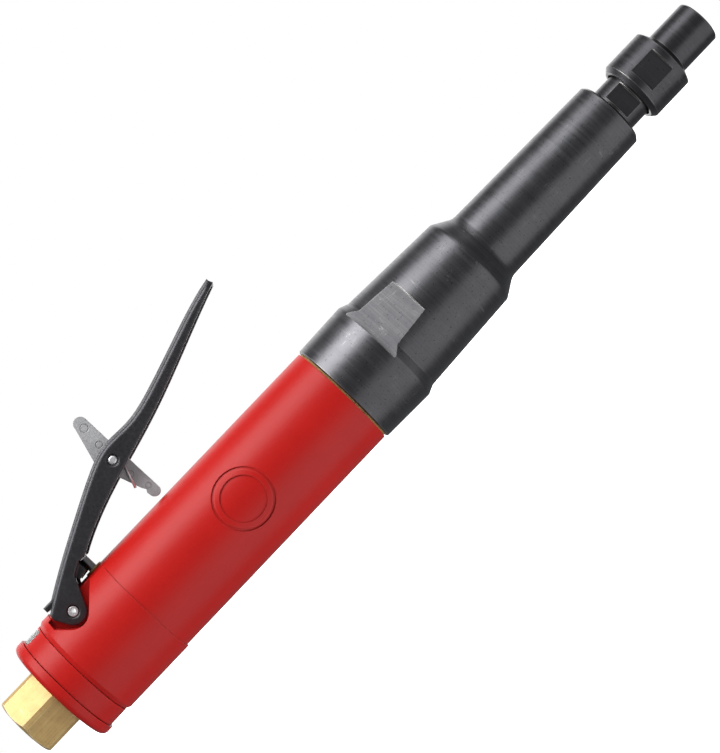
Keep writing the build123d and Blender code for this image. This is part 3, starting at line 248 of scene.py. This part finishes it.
@dataclass(frozen=True)
class Metal(Finish):
    """A metal surface with tool marks, cloudy colour, specks, and edges tinted with painted
    highlight, painted shade where the edge colour is darker.

    Attributes:
        light: Colour of the brighter clouds.
        dark: Colour of the darker clouds.
        scratch_and_painted_edge: Colour of the scratches, also mixed in along edges as a painted
            highlight, and as painted shade where it is darker than the metal.
        painted_edge_amount: How much of the painted edge light and shade is mixed in, 0 to 1.
        roughness: Lowest and highest roughness.
        marks: Direction of the tool marks.
        mark_mm: Spacing of the tool marks, coarser than real ones so that they show.
        mark_depth_mm: Depth of the tool marks.
        cloud_mm: Size of the clouds.
        speck: How dark the pits and specks are, 0 to 1.
        edge_mm: Radius to which edges are rounded.
        metallic: 1 for bare metal, less where a skin or coating scatters light.
        milled: Colour of the wrench flats.
        scratch: How bright the fine scratches are, 0 to 1.
        flats: The milled flats, if the piece has any.
    """

    light: str = "#B8B8B8"
    dark: str = "#8E8E8E"
    scratch_and_painted_edge: str = "#D8D8D8"
    painted_edge_amount: float = 0.5
    roughness: tuple[float, float] = (0.28, 0.42)
    marks: Marks = Marks.AROUND
    mark_mm: float = 0.35
    mark_depth_mm: float = 0.004
    cloud_mm: float = 9.0
    speck: float = 0.2
    edge_mm: float = 0.22
    metallic: float = 1.0
    milled: str = "#8A8A8C"
    scratch: float = 0.25
    flats: tuple[Flat, ...] = ()

    def mark_lines(self, tree: bpy.types.NodeTree) -> bpy.types.NodeSocket:
        """Height of the tool marks.

        Args:
            tree: Material's node tree.

        Returns:
            A socket with the lines' height, 0 to 1.
        """
        place = add_node(tree, "ShaderNodeTexCoord")
        fine = per_mm(self.mark_mm)
        slow = fine / 60
        stretch = {Marks.AROUND: (fine, slow, slow), Marks.ALONG: (slow, fine, fine),
                   Marks.NONE: (fine, fine, fine)}[self.marks]
        stretched = add_node(tree, "ShaderNodeVectorMath",
                             {0: place.outputs["Object"], 1: stretch}, operation="MULTIPLY")
        lines = add_node(tree, "ShaderNodeTexNoise",
                         {"Vector": stretched.outputs[0], "Scale": 1.0, "Detail": 3.0,
                          "Roughness": 0.6})
        return lines.outputs["Fac"]

    def scratches(self, tree: bpy.types.NodeTree) -> bpy.types.NodeSocket:
        """Sparse thin scratches in two directions, where the metal shows bright.

        Args:
            tree: Material's node tree.

        Returns:
            A socket that is 1 in a scratch and 0 beside it.
        """
        place = add_node(tree, "ShaderNodeTexCoord")
        found = None
        across = per_mm(SCRATCH_APART_MM)
        along, around = per_mm(SCRATCH_LONG_MM), per_mm(SCRATCH_AROUND_MM)
        for stretch in ((along, across, across), (across, around, around)):
            skewed = add_node(tree, "ShaderNodeVectorMath",
                              {0: place.outputs["Object"], 1: stretch}, operation="MULTIPLY")
            noise = add_node(tree, "ShaderNodeTexNoise",
                             {"Vector": skewed.outputs[0], "Scale": 1.0, "Detail": 0.0})
            line = add_node(tree, "ShaderNodeMath",
                            {0: noise.outputs["Fac"], 1: 0.5, 2: 0.004}, operation="COMPARE")
            gate = add_node(tree, "ShaderNodeTexNoise",
                            {"Vector": place.outputs["Object"],
                             "Scale": per_mm(SCRATCH_PATCH_MM), "Detail": 1.0})
            where = add_node(tree, "ShaderNodeMapRange",
                             {"Value": gate.outputs["Fac"], "From Min": 0.52,
                              "From Max": 0.62})
            part = add_node(tree, "ShaderNodeMath",
                            {0: line.outputs[0], 1: where.outputs["Result"]},
                            operation="MULTIPLY").outputs[0]
            found = part if found is None else add_node(
                tree, "ShaderNodeMath", {0: found, 1: part}, operation="MAXIMUM").outputs[0]
        return found

    def on_any_flat(self, tree: bpy.types.NodeTree) -> bpy.types.NodeSocket | None:
        """Mask of all the piece's flats.

        Args:
            tree: Material's node tree.

        Returns:
            A socket that is 1 on the flats, or None if the piece has none.
        """
        found = None
        for flat in self.flats:
            mask = flat_mask(tree, flat)
            found = mask if found is None else add_node(
                tree, "ShaderNodeMath", {0: found, 1: mask}, operation="MAXIMUM").outputs[0]
        return found

    def wire(self, tree: bpy.types.NodeTree, shader: bpy.types.Node) -> None:
        """Link clouds, marks, specks, painted edge light and shade, and flats to the shader.

        Args:
            tree: Material's node tree.
            shader: Its Principled shader.
        """
        place = add_node(tree, "ShaderNodeTexCoord")
        lines = self.mark_lines(tree)
        clouds = add_node(tree, "ShaderNodeTexNoise",
                          {"Vector": place.outputs["Object"], "Scale": per_mm(self.cloud_mm),
                           "Detail": 6.0, "Roughness": 0.65})
        blend = add_node(tree, "ShaderNodeMath",
                         {0: lines, 1: clouds.outputs["Fac"]}, operation="ADD")
        tone = add_node(tree, "ShaderNodeMapRange",
                        {"Value": blend.outputs[0], "From Min": 0.7, "From Max": 1.3})
        colour = add_node(tree, "ShaderNodeMix",
                          {"Factor": tone.outputs["Result"], "A": linear(self.dark),
                           "B": linear(self.light)}, data_type="RGBA").outputs["Result"]
        on_flat = self.on_any_flat(tree)
        if on_flat is not None:
            cloudy = add_node(tree, "ShaderNodeMix",
                              {"Factor": tone.outputs["Result"], "A": linear(self.dark),
                               "B": linear(self.milled)}, data_type="RGBA").outputs["Result"]
            colour = add_node(tree, "ShaderNodeMix",
                              {"Factor": on_flat, "A": colour, "B": cloudy},
                              data_type="RGBA").outputs["Result"]
        nicked = add_node(tree, "ShaderNodeMath", {0: self.scratches(tree), 1: self.scratch},
                          operation="MULTIPLY")
        colour = add_node(tree, "ShaderNodeMix",
                          {"Factor": nicked.outputs[0], "A": colour, "B": linear(self.scratch_and_painted_edge)},
                          data_type="RGBA").outputs["Result"]
        grit = add_node(tree, "ShaderNodeTexNoise",
                        {"Vector": place.outputs["Object"], "Scale": per_mm(GRIT_MM),
                         "Detail": 1.0})
        pits = add_node(tree, "ShaderNodeMapRange",
                        {"Value": grit.outputs["Fac"], "From Min": 0.66, "From Max": 0.74,
                         "To Max": self.speck})
        colour = add_node(tree, "ShaderNodeMix",
                          {"Factor": pits.outputs["Result"], "A": colour,
                           "B": (0.01, 0.01, 0.01, 1.0)}, data_type="RGBA").outputs["Result"]
        # Painted light along edges: the scratch colour mixed in on a patchy edge mask, a painted
        # highlight where it is lighter than the metal, painted shade where darker.
        patchy = add_node(tree, "ShaderNodeMapRange",
                          {"Value": clouds.outputs["Fac"], "From Min": 0.3, "From Max": 0.7,
                           "To Min": 0.4 * self.painted_edge_amount, "To Max": self.painted_edge_amount})
        painted_edges = add_node(tree, "ShaderNodeMath",
                          {0: edge_mask(tree, self.edge_mm * 1.3),
                           1: patchy.outputs["Result"]}, operation="MULTIPLY")
        colour = add_node(tree, "ShaderNodeMix",
                          {"Factor": painted_edges.outputs[0], "A": colour, "B": linear(self.scratch_and_painted_edge)},
                          data_type="RGBA").outputs["Result"]
        rough = add_node(tree, "ShaderNodeMapRange",
                         {"Value": lines, "From Min": 0.3, "From Max": 0.7,
                          "To Min": self.roughness[0], "To Max": self.roughness[1]})
        matt = rough.outputs["Result"]
        if on_flat is not None:
            matt = add_node(tree, "ShaderNodeMix", {"Factor": on_flat, "A": matt,
                                                    "B": FLAT_ROUGHNESS}).outputs["Result"]
        rounded = add_node(tree, "ShaderNodeBevel", {"Radius": self.edge_mm * MM}, samples=6)
        bump = add_node(tree, "ShaderNodeBump",
                        {"Height": lines, "Distance": self.mark_depth_mm * MM,
                         "Normal": rounded.outputs["Normal"]})
        shader.inputs["Metallic"].default_value = self.metallic
        tree.links.new(colour, shader.inputs["Base Color"])
        tree.links.new(matt, shader.inputs["Roughness"])
        tree.links.new(bump.outputs["Normal"], shader.inputs["Normal"])


@dataclass(frozen=True)
class Moulded(Finish):
    """A moulded plastic, rubber or laminate with grain, faint flow clouds, soft edges and a
    painted highlight along them.

    Attributes:
        light: Colour of the brighter clouds.
        dark: Colour of the darker clouds.
        edge: Colour of the painted highlight along edges.
        roughness: Lowest and highest roughness.
        grain_mm: Size of the grain.
        grain_depth_mm: Depth of the grain.
        cloud_mm: Size of the clouds.
        edge_mm: Radius to which edges are rounded.
        ior: Index of refraction.
    """

    light: str = "#B01814"
    dark: str = "#A61410"
    edge: str = "#C8403C"
    roughness: tuple[float, float] = (0.34, 0.46)
    grain_mm: float = 0.45
    grain_depth_mm: float = 0.02
    cloud_mm: float = 22.0
    edge_mm: float = 0.35
    ior: float = 1.29

    def wire(self, tree: bpy.types.NodeTree, shader: bpy.types.Node) -> None:
        """Link grain, clouds, rounded edges and their painted highlight to the shader.

        Args:
            tree: Material's node tree.
            shader: Its Principled shader.
        """
        place = add_node(tree, "ShaderNodeTexCoord")
        clouds = add_node(tree, "ShaderNodeTexNoise",
                          {"Vector": place.outputs["Object"], "Scale": per_mm(self.cloud_mm),
                           "Detail": 5.0, "Roughness": 0.6})
        grain = add_node(tree, "ShaderNodeTexNoise",
                         {"Vector": place.outputs["Object"], "Scale": per_mm(self.grain_mm),
                          "Detail": 2.0})
        mixed = add_node(tree, "ShaderNodeMath",
                         {0: grain.outputs["Fac"], 1: clouds.outputs["Fac"]}, operation="ADD")
        tone = add_node(tree, "ShaderNodeMapRange",
                        {"Value": mixed.outputs[0], "From Min": 0.72, "From Max": 1.28})
        base = add_node(tree, "ShaderNodeMix",
                        {"Factor": tone.outputs["Result"], "A": linear(self.dark),
                         "B": linear(self.light)}, data_type="RGBA")
        # Painted highlight: a paler colour mixed in at half strength along the edges.
        painted_edges = add_node(tree, "ShaderNodeMath",
                          {0: edge_mask(tree, self.edge_mm), 1: 0.5}, operation="MULTIPLY")
        colour = add_node(tree, "ShaderNodeMix",
                          {"Factor": painted_edges.outputs[0], "A": base.outputs["Result"],
                           "B": linear(self.edge)}, data_type="RGBA")
        rough = add_node(tree, "ShaderNodeMapRange",
                         {"Value": grain.outputs["Fac"], "From Min": 0.3, "From Max": 0.7,
                          "To Min": self.roughness[0], "To Max": self.roughness[1]})
        rounded = add_node(tree, "ShaderNodeBevel", {"Radius": self.edge_mm * MM}, samples=6)
        bump = add_node(tree, "ShaderNodeBump",
                        {"Height": grain.outputs["Fac"],
                         "Distance": self.grain_depth_mm * MM,
                         "Normal": rounded.outputs["Normal"]})
        shader.inputs["IOR"].default_value = self.ior
        tree.links.new(colour.outputs["Result"], shader.inputs["Base Color"])
        tree.links.new(rough.outputs["Result"], shader.inputs["Roughness"])
        tree.links.new(bump.outputs["Normal"], shader.inputs["Normal"])


# Glass-filled nylon, moulded against a spark-eroded tool: a fine even grain that keeps
# highlights soft, with faint flow clouds.
RED_NYLON = Moulded("glass_filled_nylon_red")

# Medium-carbon steel, turned and black-oxidised: fine lines around the axis, dark grey with
# bright rubbed edges lit further by a painted highlight, and milled flats that show lighter.
BARREL_FLAT = Flat(34.925, 23.0, (-156.3, -137.4))
NECK_FLAT = Flat(14.2875, 0.0, (-42.6, -35.0))
NUT_FLAT = Flat(21.8, 0.0, (-31.0, -20.0))
BLACK_STEEL = Metal("black_oxide_steel", light="#626265", dark="#545356", scratch_and_painted_edge="#C9C6C2",
                    painted_edge_amount=0.8, roughness=(0.30, 0.42), mark_mm=0.5, mark_depth_mm=0.006,
                    cloud_mm=14.0, speck=0.6, edge_mm=0.32, milled="#6A6A6C",
                    scratch=0.18, flats=(BARREL_FLAT,))

# The same steel in the nut and neck, painted darker as shade, with painted shade on their wrench
# flats.
SHADED_STEEL = Metal("black_oxide_steel_painted_shade", light="#59595C", dark="#4C4B4E", scratch_and_painted_edge="#C2BFBB",
                   painted_edge_amount=0.85, roughness=(0.30, 0.42), mark_mm=0.45, mark_depth_mm=0.006,
                   cloud_mm=9.0, speck=0.6, edge_mm=0.3, milled="#424244", scratch=0.12,
                   flats=(NECK_FLAT, NUT_FLAT))

# Ground alloy steel: bright, with short dull lines around the axis and a painted highlight along
# its edges.
GROUND_STEEL = Metal("ground_steel", light="#B9B9BA", dark="#8F8F91", scratch_and_painted_edge="#E6E6E6",
                     painted_edge_amount=0.5, roughness=(0.24, 0.38), mark_mm=0.4)

# Cold-headed pin steel, zinc plated: silvery and a little uneven, with a faint painted highlight
# along its edges.
PLATED_STEEL = Metal("zinc_plated_steel", light="#E2E2E3", dark="#CFCFD1", scratch_and_painted_edge="#F0F0F0",
                     painted_edge_amount=0.2, roughness=(0.28, 0.38), marks=Marks.NONE, mark_mm=1.5,
                     mark_depth_mm=0.002, cloud_mm=4.0, speck=0.0, edge_mm=0.12,
                     metallic=0.7, scratch=0.05)

# Free-cutting brass, drawn to hexagon and turned on its ends: long draw lines, warm colour,
# and a pale painted highlight along its edges.
DRAWN_BRASS = Metal("drawn_brass", light="#CBAE72", dark="#B2925C", scratch_and_painted_edge="#FBEFCB", painted_edge_amount=0.9,
                    metallic=0.45, roughness=(0.42, 0.55), marks=Marks.ALONG, mark_mm=0.5,
                    mark_depth_mm=0.006, cloud_mm=5.0, speck=0.25, edge_mm=0.4)

# Pressed steel lever, phosphated and painted black, with a grey painted highlight along its
# edges.
BLACK_LEVER = Metal("black_phosphated_steel", light="#48474A", dark="#3C3B3E", scratch_and_painted_edge="#727274",
                    painted_edge_amount=0.25, roughness=(0.32, 0.42), marks=Marks.NONE, mark_mm=0.9,
                    mark_depth_mm=0.003, cloud_mm=9.0, speck=0.1, edge_mm=1.1,
                    metallic=0.75, scratch=0.12)

# Die-cast zinc, tumbled: even grey with a cast skin, and painted shade along its edges.
CAST_ZINC = Metal("die_cast_zinc", light="#C6C6C8", dark="#A8A8AA", scratch_and_painted_edge="#6E6E70", painted_edge_amount=0.6,
                  roughness=(0.40, 0.54), marks=Marks.NONE, mark_mm=0.6,
                  mark_depth_mm=0.008, cloud_mm=4.0, speck=0.1, metallic=0.55, scratch=0.1)

# Machined aluminium: pale, with even lines around the axis.
ALUMINIUM = Metal("machined_aluminium", light="#CFCFD2", dark="#A9A9AC", roughness=(0.3, 0.42))

# Stainless wire, drawn: grey and slightly dull, as woven cloth.
STAINLESS = Metal("drawn_stainless_wire", light="#A8A8A6", dark="#6E6E6C", roughness=(0.3, 0.5),
                  marks=Marks.NONE, mark_mm=0.5, cloud_mm=1.5)

# Sintered fibre pad: dull grey, rough and porous.
FELT = Moulded("sintered_fibre_pad", light="#7A7A78", dark="#3A3A38", edge="#8A8A88",
               roughness=(0.85, 1.0), grain_mm=0.6, grain_depth_mm=0.2, cloud_mm=3.0)

# Moulded nitrile rubber: black and matt.
RUBBER = Moulded("nitrile_rubber", light="#232323", dark="#151515", edge="#303030",
                 roughness=(0.55, 0.7), grain_mm=0.3, cloud_mm=4.0)

# Cut fibre gasket: tan, with short fibres.
GASKET = Moulded("fibre_gasket", light="#B08A58", dark="#7E5E38", edge="#C09A68",
                 roughness=(0.7, 0.9), grain_mm=0.35, grain_depth_mm=0.05, cloud_mm=2.0)

# Cotton-phenolic laminate: brown, with the cloth's grain.
LAMINATE = Moulded("phenolic_laminate", light="#7A4A22", dark="#5A3214", edge="#8A5A30",
                   roughness=(0.45, 0.6), grain_mm=0.5, grain_depth_mm=0.02, cloud_mm=5.0)


def dress(names: Iterable[str], finish: Finish) -> None:
    """Give CAD nodes a finish.

    Args:
        names: Node names.
        finish: The finish for all of them.
    """
    material = finish.material()
    for name in names:
        for slot in frame["nodes"][name].material_slots:
            slot.material = material
        LOG.info("%s: %s", name, finish.name)


def new_piece(name: str, mesh: bmesh.types.BMesh, finish: Finish) -> bpy.types.Object:
    """Turn mesh code's result into an object with a finish.

    Args:
        name: Object's name.
        mesh: Its faces; freed here.
        finish: Its finish.

    Returns:
        The new object, linked to the scene.
    """
    data = bpy.data.meshes.new(name)
    mesh.to_mesh(data)
    mesh.free()
    for polygon in data.polygons:
        polygon.use_smooth = True
    data.materials.append(finish.material())
    piece = bpy.data.objects.new(name, data)
    bpy.context.scene.collection.objects.link(piece)
    LOG.info("%s: %s", name, finish.name)
    return piece


def add_wire(mesh: bmesh.types.BMesh, points: Sequence[Vector], radius: float,
             sides: int = 6) -> None:
    """Add a round wire along a line of points.

    Args:
        mesh: Mesh that gets the wire.
        points: The wire's centre line.
        radius: Wire radius in metres.
        sides: Faces around the wire.
    """
    rings = []
    for index, point in enumerate(points):
        before = points[max(index - 1, 0)]
        after = points[min(index + 1, len(points) - 1)]
        way = (after - before).normalized()
        side = way.cross(Vector((0.31, 0.57, 0.76))).normalized()
        other = way.cross(side)
        ring = []
        for step in range(sides):
            angle = 2 * math.pi * step / sides
            offset = side * math.cos(angle) + other * math.sin(angle)
            ring.append(mesh.verts.new(point + offset * radius))
        rings.append(ring)
    for ring, following in zip(rings, rings[1:]):
        for step in range(sides):
            after = (step + 1) % sides
            mesh.faces.new((ring[step], ring[after], following[after], following[step]))
    mesh.faces.new(rings[0][::-1])
    mesh.faces.new(rings[-1])


# ------------------------------------------------------------------ sub-assemblies
@dataclass
class RearEnd:
    """Air inlet, cap, exhaust deflector and its woven screen.

    Attributes:
        wire_mm: Diameter of the screen's wires.
        pitch_mm: Spacing of the screen's wires.
    """

    wire_mm: float = 0.3
    pitch_mm: float = 0.78

    def build(self) -> None:
        """Weave the screen that stands in the deflector's window."""
        low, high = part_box("exhaust_screen")
        radius = high.z - self.wire_mm * MM
        half_angle = math.asin(high.y / radius)
        half_lift = self.wire_mm / 2 * MM
        mesh = bmesh.new()
        length = high.x - low.x
        rows = int(length / (self.pitch_mm * MM))
        columns = int(2 * half_angle * radius / (self.pitch_mm * MM))

        def spot(column: float, row: float, lift: float) -> Vector:
            angle = -half_angle + 2 * half_angle * column / columns
            reach = radius + lift
            return Vector((low.x + length * row / rows, reach * math.sin(angle),
                           reach * math.cos(angle)))

        for row in range(rows + 1):
            line = [spot(step / 2, row, half_lift * math.cos(math.pi * (step / 2 + row)))
                    for step in range(2 * columns + 1)]
            add_wire(mesh, line, self.wire_mm / 2 * MM)
        for column in range(columns + 1):
            line = [spot(column, step / 2, -half_lift * math.cos(math.pi * (step / 2 + column)))
                    for step in range(2 * rows + 1)]
            add_wire(mesh, line, self.wire_mm / 2 * MM)
        screen = new_piece("woven_exhaust_screen", mesh, STAINLESS)
        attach(screen, "deflector")
        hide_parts("exhaust_screen")

    def dress(self) -> None:
        """Finish the rear end's CAD pieces."""
        dress(["inlet_bushing"], DRAWN_BRASS)
        dress(["inlet_screen", "exhaust_screen"], STAINLESS)
        dress(["rear_cap", "exhaust_deflector"], RED_NYLON)
        dress(["muffler_pad"], FELT)
        dress(["deflector_oring"], RUBBER)


@dataclass
class Handle:
    """Composite handle with its valve inside.

    Attributes:
        wire_mm: Diameter of the valve spring's wire.
        coils: Number of its coils.
        cone_deg: How fast it narrows from the inlet towards the valve.
        spring_left: Share of its length left when the valve is fully tipped; not used.
    """

    wire_mm: float = 0.7
    coils: int = 3
    cone_deg: float = 12.0
    spring_left: float = 0.7

    def build(self) -> None:
        """Wind the conical valve spring."""
        low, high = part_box("valve_spring")
        half = self.wire_mm / 2 * MM
        rear, front = low.x + half, high.x - half
        wide = (high.z - low.z) / 2 - half
        narrowing = (front - rear) * math.tan(math.radians(self.cone_deg))
        steps = COIL_STEPS * self.coils
        line = []
        for step in range(steps + 1):
            share = step / steps
            angle = 2 * math.pi * self.coils * share
            radius = wide - narrowing * share
            line.append(Vector((rear + (front - rear) * share, radius * math.sin(angle),
                                radius * math.cos(angle))))
        mesh = bmesh.new()
        add_wire(mesh, line, half, sides=8)
        spring = new_piece("valve_spring_coil", mesh, PLATED_STEEL)
        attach(spring, "housing")
        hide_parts("valve_spring")
        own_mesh(spring)

    def dress(self) -> None:
        """Finish the handle and the valve pieces in it."""
        dress(["grip_housing"], RED_NYLON)
        dress(["backhead"], ALUMINIUM)
        dress(["valve_seat", "throttle_pin_oring"], RUBBER)
        dress(["tilt_valve", "valve_spring"], PLATED_STEEL)
        dress(["throttle_bush"], DRAWN_BRASS)
        dress(["joint_gasket"], GASKET)


@dataclass
class LeverGroup:
    """Throttle lever, its latch, pins and springs.

    Attributes:
        wire_mm: Diameter of the latch spring's wire.
        turns: Number of its coils round the pin.
        leg_lean_mm: How far its leg's end stands behind the pin.
        leg_left: Share of the leg's length left when the latch is folded away; not used.
    """

    wire_mm: float = 0.9
    turns: int = 2
    leg_lean_mm: float = 1.6
    leg_left: float = 0.3

    def build(self) -> None:
        """Wind the latch spring: coils round its pin, and a straight leg."""
        pin_low, pin_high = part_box("latch_pin")
        low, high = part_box("latch_spring")
        middle = (pin_low + pin_high) / 2
        half = self.wire_mm / 2 * MM
        radius = high.x - half - middle.x
        first, last = high.y - half, low.y + half
        steps = COIL_STEPS * self.turns
        coil_line = []
        for step in range(steps + 1):
            angle = 2 * math.pi * step / COIL_STEPS
            coil_line.append(Vector((middle.x + radius * math.cos(angle),
                                     first + (last - first) * step / steps,
                                     middle.z + radius * math.sin(angle))))
        start = coil_line[0]
        end = Vector((middle.x - self.leg_lean_mm * MM, first, low.z + half))
        pieces = []
        for name, line in (("latch_spring_coil", coil_line), ("latch_spring_leg", [start, end])):
            mesh = bmesh.new()
            add_wire(mesh, line, half, sides=10)
            piece = new_piece(name, mesh, PLATED_STEEL)
            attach(piece, "latch")
            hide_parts("latch_spring")
            pieces.append(piece)
        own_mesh(pieces[1])

    def dress(self) -> None:
        """Finish the lever group's pieces."""
        dress(["throttle_lever"], BLACK_LEVER)
        dress(["lock_latch"], CAST_ZINC)
        dress(["lever_pin", "latch_pin", "latch_spring"], PLATED_STEEL)
        dress(["throttle_pin"], GROUND_STEEL)


@dataclass
class Motor:
    """Vane motor in the handle.

    Attributes:
        vanes: Names of the vanes.
    """

    vanes: list[str] = field(default_factory=lambda: [f"vane_{i}" for i in range(1, 6)])

    def dress(self) -> None:
        """Finish the motor's pieces."""
        dress(["barrel_insert", "cylinder", "rotor"], GROUND_STEEL)
        dress(["rear_end_plate", "front_end_plate"], ALUMINIUM)
        dress(self.vanes, LAMINATE)


@dataclass
class SpindleLine:
    """Steel barrel, spindle, collet and all four ball bearings.

    Attributes:
        bearings: Names of the bearings.
    """

    bearings: tuple[str, ...] = ("rotor_rear_bearing", "rotor_front_bearing",
                                 "spindle_rear_bearing", "spindle_front_bearing")

    def dress(self) -> None:
        """Finish the steel pieces and the bearings."""
        dress(["extension_housing"], BLACK_STEEL)
        dress(["collet_nut", "collet_body"], SHADED_STEEL)
        dress(["front_retainer", "drive_coupling", "extension_spindle", "bearing_spacer",
               "wave_washer", "collet"], GROUND_STEEL)
        for bearing in self.bearings:
            dress([f"{bearing}_{piece}" for piece in ("outer_ring", "inner_ring", "balls")],
                  GROUND_STEEL)
            dress([f"{bearing}_cage"], DRAWN_BRASS)


@dataclass
class Studio:
    """Camera, softboxes, pale floor and white surroundings.

    Attributes:
        eye: Camera position in metres.
        aim: Point in the middle of the picture.
        roll_deg: Slope of the tool's axis in the picture.
        lens_mm: Focal length on a 36 mm sensor.
        floor_drop: How far the floor is below the tool.
        floor_middle: Where the middle of the floor is along the tool.
    """

    eye: tuple[float, float, float] = (-0.2216, -0.842, 0.0)
    aim: tuple[float, float, float] = (-0.1671, 0.0, 0.0)
    roll_deg: float = 46.4
    lens_mm: float = 120.05
    floor_drop: float = 0.0005
    floor_middle: float = -0.165

    def place_camera(self) -> None:
        """Stand the camera at the tool's side, rolled so that the nose points up right."""
        eye = Vector(self.eye)
        ahead = (Vector(self.aim) - eye).normalized()
        level_right = ahead.cross(Vector((0, 0, 1))).normalized()
        level_up = level_right.cross(ahead)
        roll = math.radians(self.roll_deg)
        right = level_right * math.cos(roll) - level_up * math.sin(roll)
        up = level_right * math.sin(roll) + level_up * math.cos(roll)
        data = bpy.data.cameras.new("camera")
        data.lens = self.lens_mm
        data.sensor_width = 36.0
        camera = bpy.data.objects.new("camera", data)
        turn = Matrix((right, up, -ahead)).transposed()
        camera.matrix_world = Matrix.Translation(eye) @ turn.to_4x4()
        bpy.context.scene.collection.objects.link(camera)
        bpy.context.scene.camera = camera

    def softbox(self, name: str, place: tuple[float, float, float],
                size: tuple[float, float], power: float) -> bpy.types.Object:
        """Hang a rectangular soft light that points at the tool.

        Args:
            name: Light's name.
            place: Its centre in metres.
            size: Width along the tool and height, in metres.
            power: Strength in watts.

        Returns:
            The light.
        """
        data = bpy.data.lights.new(name, "AREA")
        data.shape = "RECTANGLE"
        data.size, data.size_y = size
        data.energy = power
        light = bpy.data.objects.new(name, data)
        centre = Vector(place)
        target = Vector((centre.x, 0, 0))
        out = (centre - target).normalized()
        side = Vector((1, 0, 0))
        light.matrix_world = (Matrix.Translation(centre)
                              @ Matrix((side, out.cross(side), out)).transposed().to_4x4())
        bpy.context.scene.collection.objects.link(light)
        return light

    def lay_floor(self) -> None:
        """Lay a flat pale floor just below the tool."""
        low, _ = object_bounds()
        level = low.z - self.floor_drop
        mesh = bmesh.new()
        rings = []
        for reach in (0.0, 0.6, 1.6, 3.0):
            ring = [mesh.verts.new((self.floor_middle + reach * math.cos(angle),
                                    reach * math.sin(angle), level))
                    for angle in (2 * math.pi * i / FLOOR_SIDES for i in range(FLOOR_SIDES))]
            rings.append(ring)
        for inner, outer in zip(rings, rings[1:]):
            for i in range(FLOOR_SIDES):
                j = (i + 1) % FLOOR_SIDES
                mesh.faces.new((inner[i], outer[i], outer[j], inner[j]))
        bmesh.ops.remove_doubles(mesh, verts=mesh.verts, dist=1e-6)
        floor = new_piece("pale_floor", mesh, PaleFloor("pale_studio_floor"))
        floor.visible_glossy = False
        floor.visible_diffuse = False
        floor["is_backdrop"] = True

    def light_room(self) -> None:
        """White surroundings for the camera and a dimmer grey for the tool."""
        world = bpy.data.worlds.new("studio_world")
        world.use_nodes = True
        tree = world.node_tree
        tree.nodes.clear()
        rays = add_node(tree, "ShaderNodeLightPath")
        seen = add_node(tree, "ShaderNodeBackground", {"Color": (1, 1, 1, 1), "Strength": 1.0})
        felt = add_node(tree, "ShaderNodeBackground",
                        {"Color": (0.95, 0.97, 1.0, 1), "Strength": 0.22})
        either = add_node(tree, "ShaderNodeMixShader",
                          {0: rays.outputs["Is Camera Ray"], 1: felt.outputs[0],
                           2: seen.outputs[0]})
        add_node(tree, "ShaderNodeOutputWorld", {"Surface": either.outputs[0]})
        bpy.context.scene.world = world

    def build(self) -> None:
        """Set up camera, lights, floor and surroundings."""
        scene = bpy.context.scene
        scene.view_settings.view_transform = "Standard"
        self.place_camera()
        self.softbox("overhead_softbox", (-0.38, -0.27, 0.55), (0.72, 0.42), 6.7)
        self.softbox("overhead_nose_softbox", (0.36, -0.27, 0.55), (0.74, 0.36), 1.5)
        self.softbox("back_softbox", (-0.16, 0.6, 0.22), (1.2, 0.7), 4.0)
        self.softbox("low_fill", (0.05, -0.36, -0.52), (0.8, 0.9), 2.0)
        glow = self.softbox("low_soft_glow", (-0.16, -0.30, -0.60), (1.4, 0.8), 5.5)
        glow.visible_glossy = False
        self.lay_floor()
        self.light_room()


@dataclass(frozen=True)
class PaleFloor(Finish):
    """Pale matt floor, lit so evenly that the tool leaves no shadow on it."""

    def wire(self, tree: bpy.types.NodeTree, shader: bpy.types.Node) -> None:
        """Link a faint mottle to the floor's shader.

        Args:
            tree: Material's node tree.
            shader: Its Principled shader.
        """
        place = add_node(tree, "ShaderNodeTexCoord")
        mottle = add_node(tree, "ShaderNodeTexNoise",
                          {"Vector": place.outputs["Object"], "Scale": per_mm(60.0)})
        tone = add_node(tree, "ShaderNodeMix",
                        {"Factor": mottle.outputs["Fac"], "A": linear("#F4F4F4"),
                         "B": linear("#FAFAFA")}, data_type="RGBA")
        shader.inputs["Roughness"].default_value = 0.9
        shader.inputs["Emission Strength"].default_value = 1.15
        tree.links.new(tone.outputs["Result"], shader.inputs["Base Color"])
        tree.links.new(tone.outputs["Result"], shader.inputs["Emission Color"])


def clear_default_objects() -> None:
    """Remove whatever the empty file held besides the frame."""
    kept = set(frame["nodes"].values()) | set(frame["bodies"].values())
    for item in list(bpy.data.objects):
        if item not in kept:
            bpy.data.objects.remove(item)


def main() -> None:
    """Build and dress every sub-assembly, then set up the studio."""
    logging.basicConfig(level=logging.INFO)
    clear_default_objects()
    rear, handle, lever = RearEnd(), Handle(), LeverGroup()
    for group in (rear, handle, lever):
        group.build()
    for group in (rear, handle, lever, Motor(), SpindleLine()):
        group.dress()
    Studio().build()


if __name__ == "__main__":
    main()
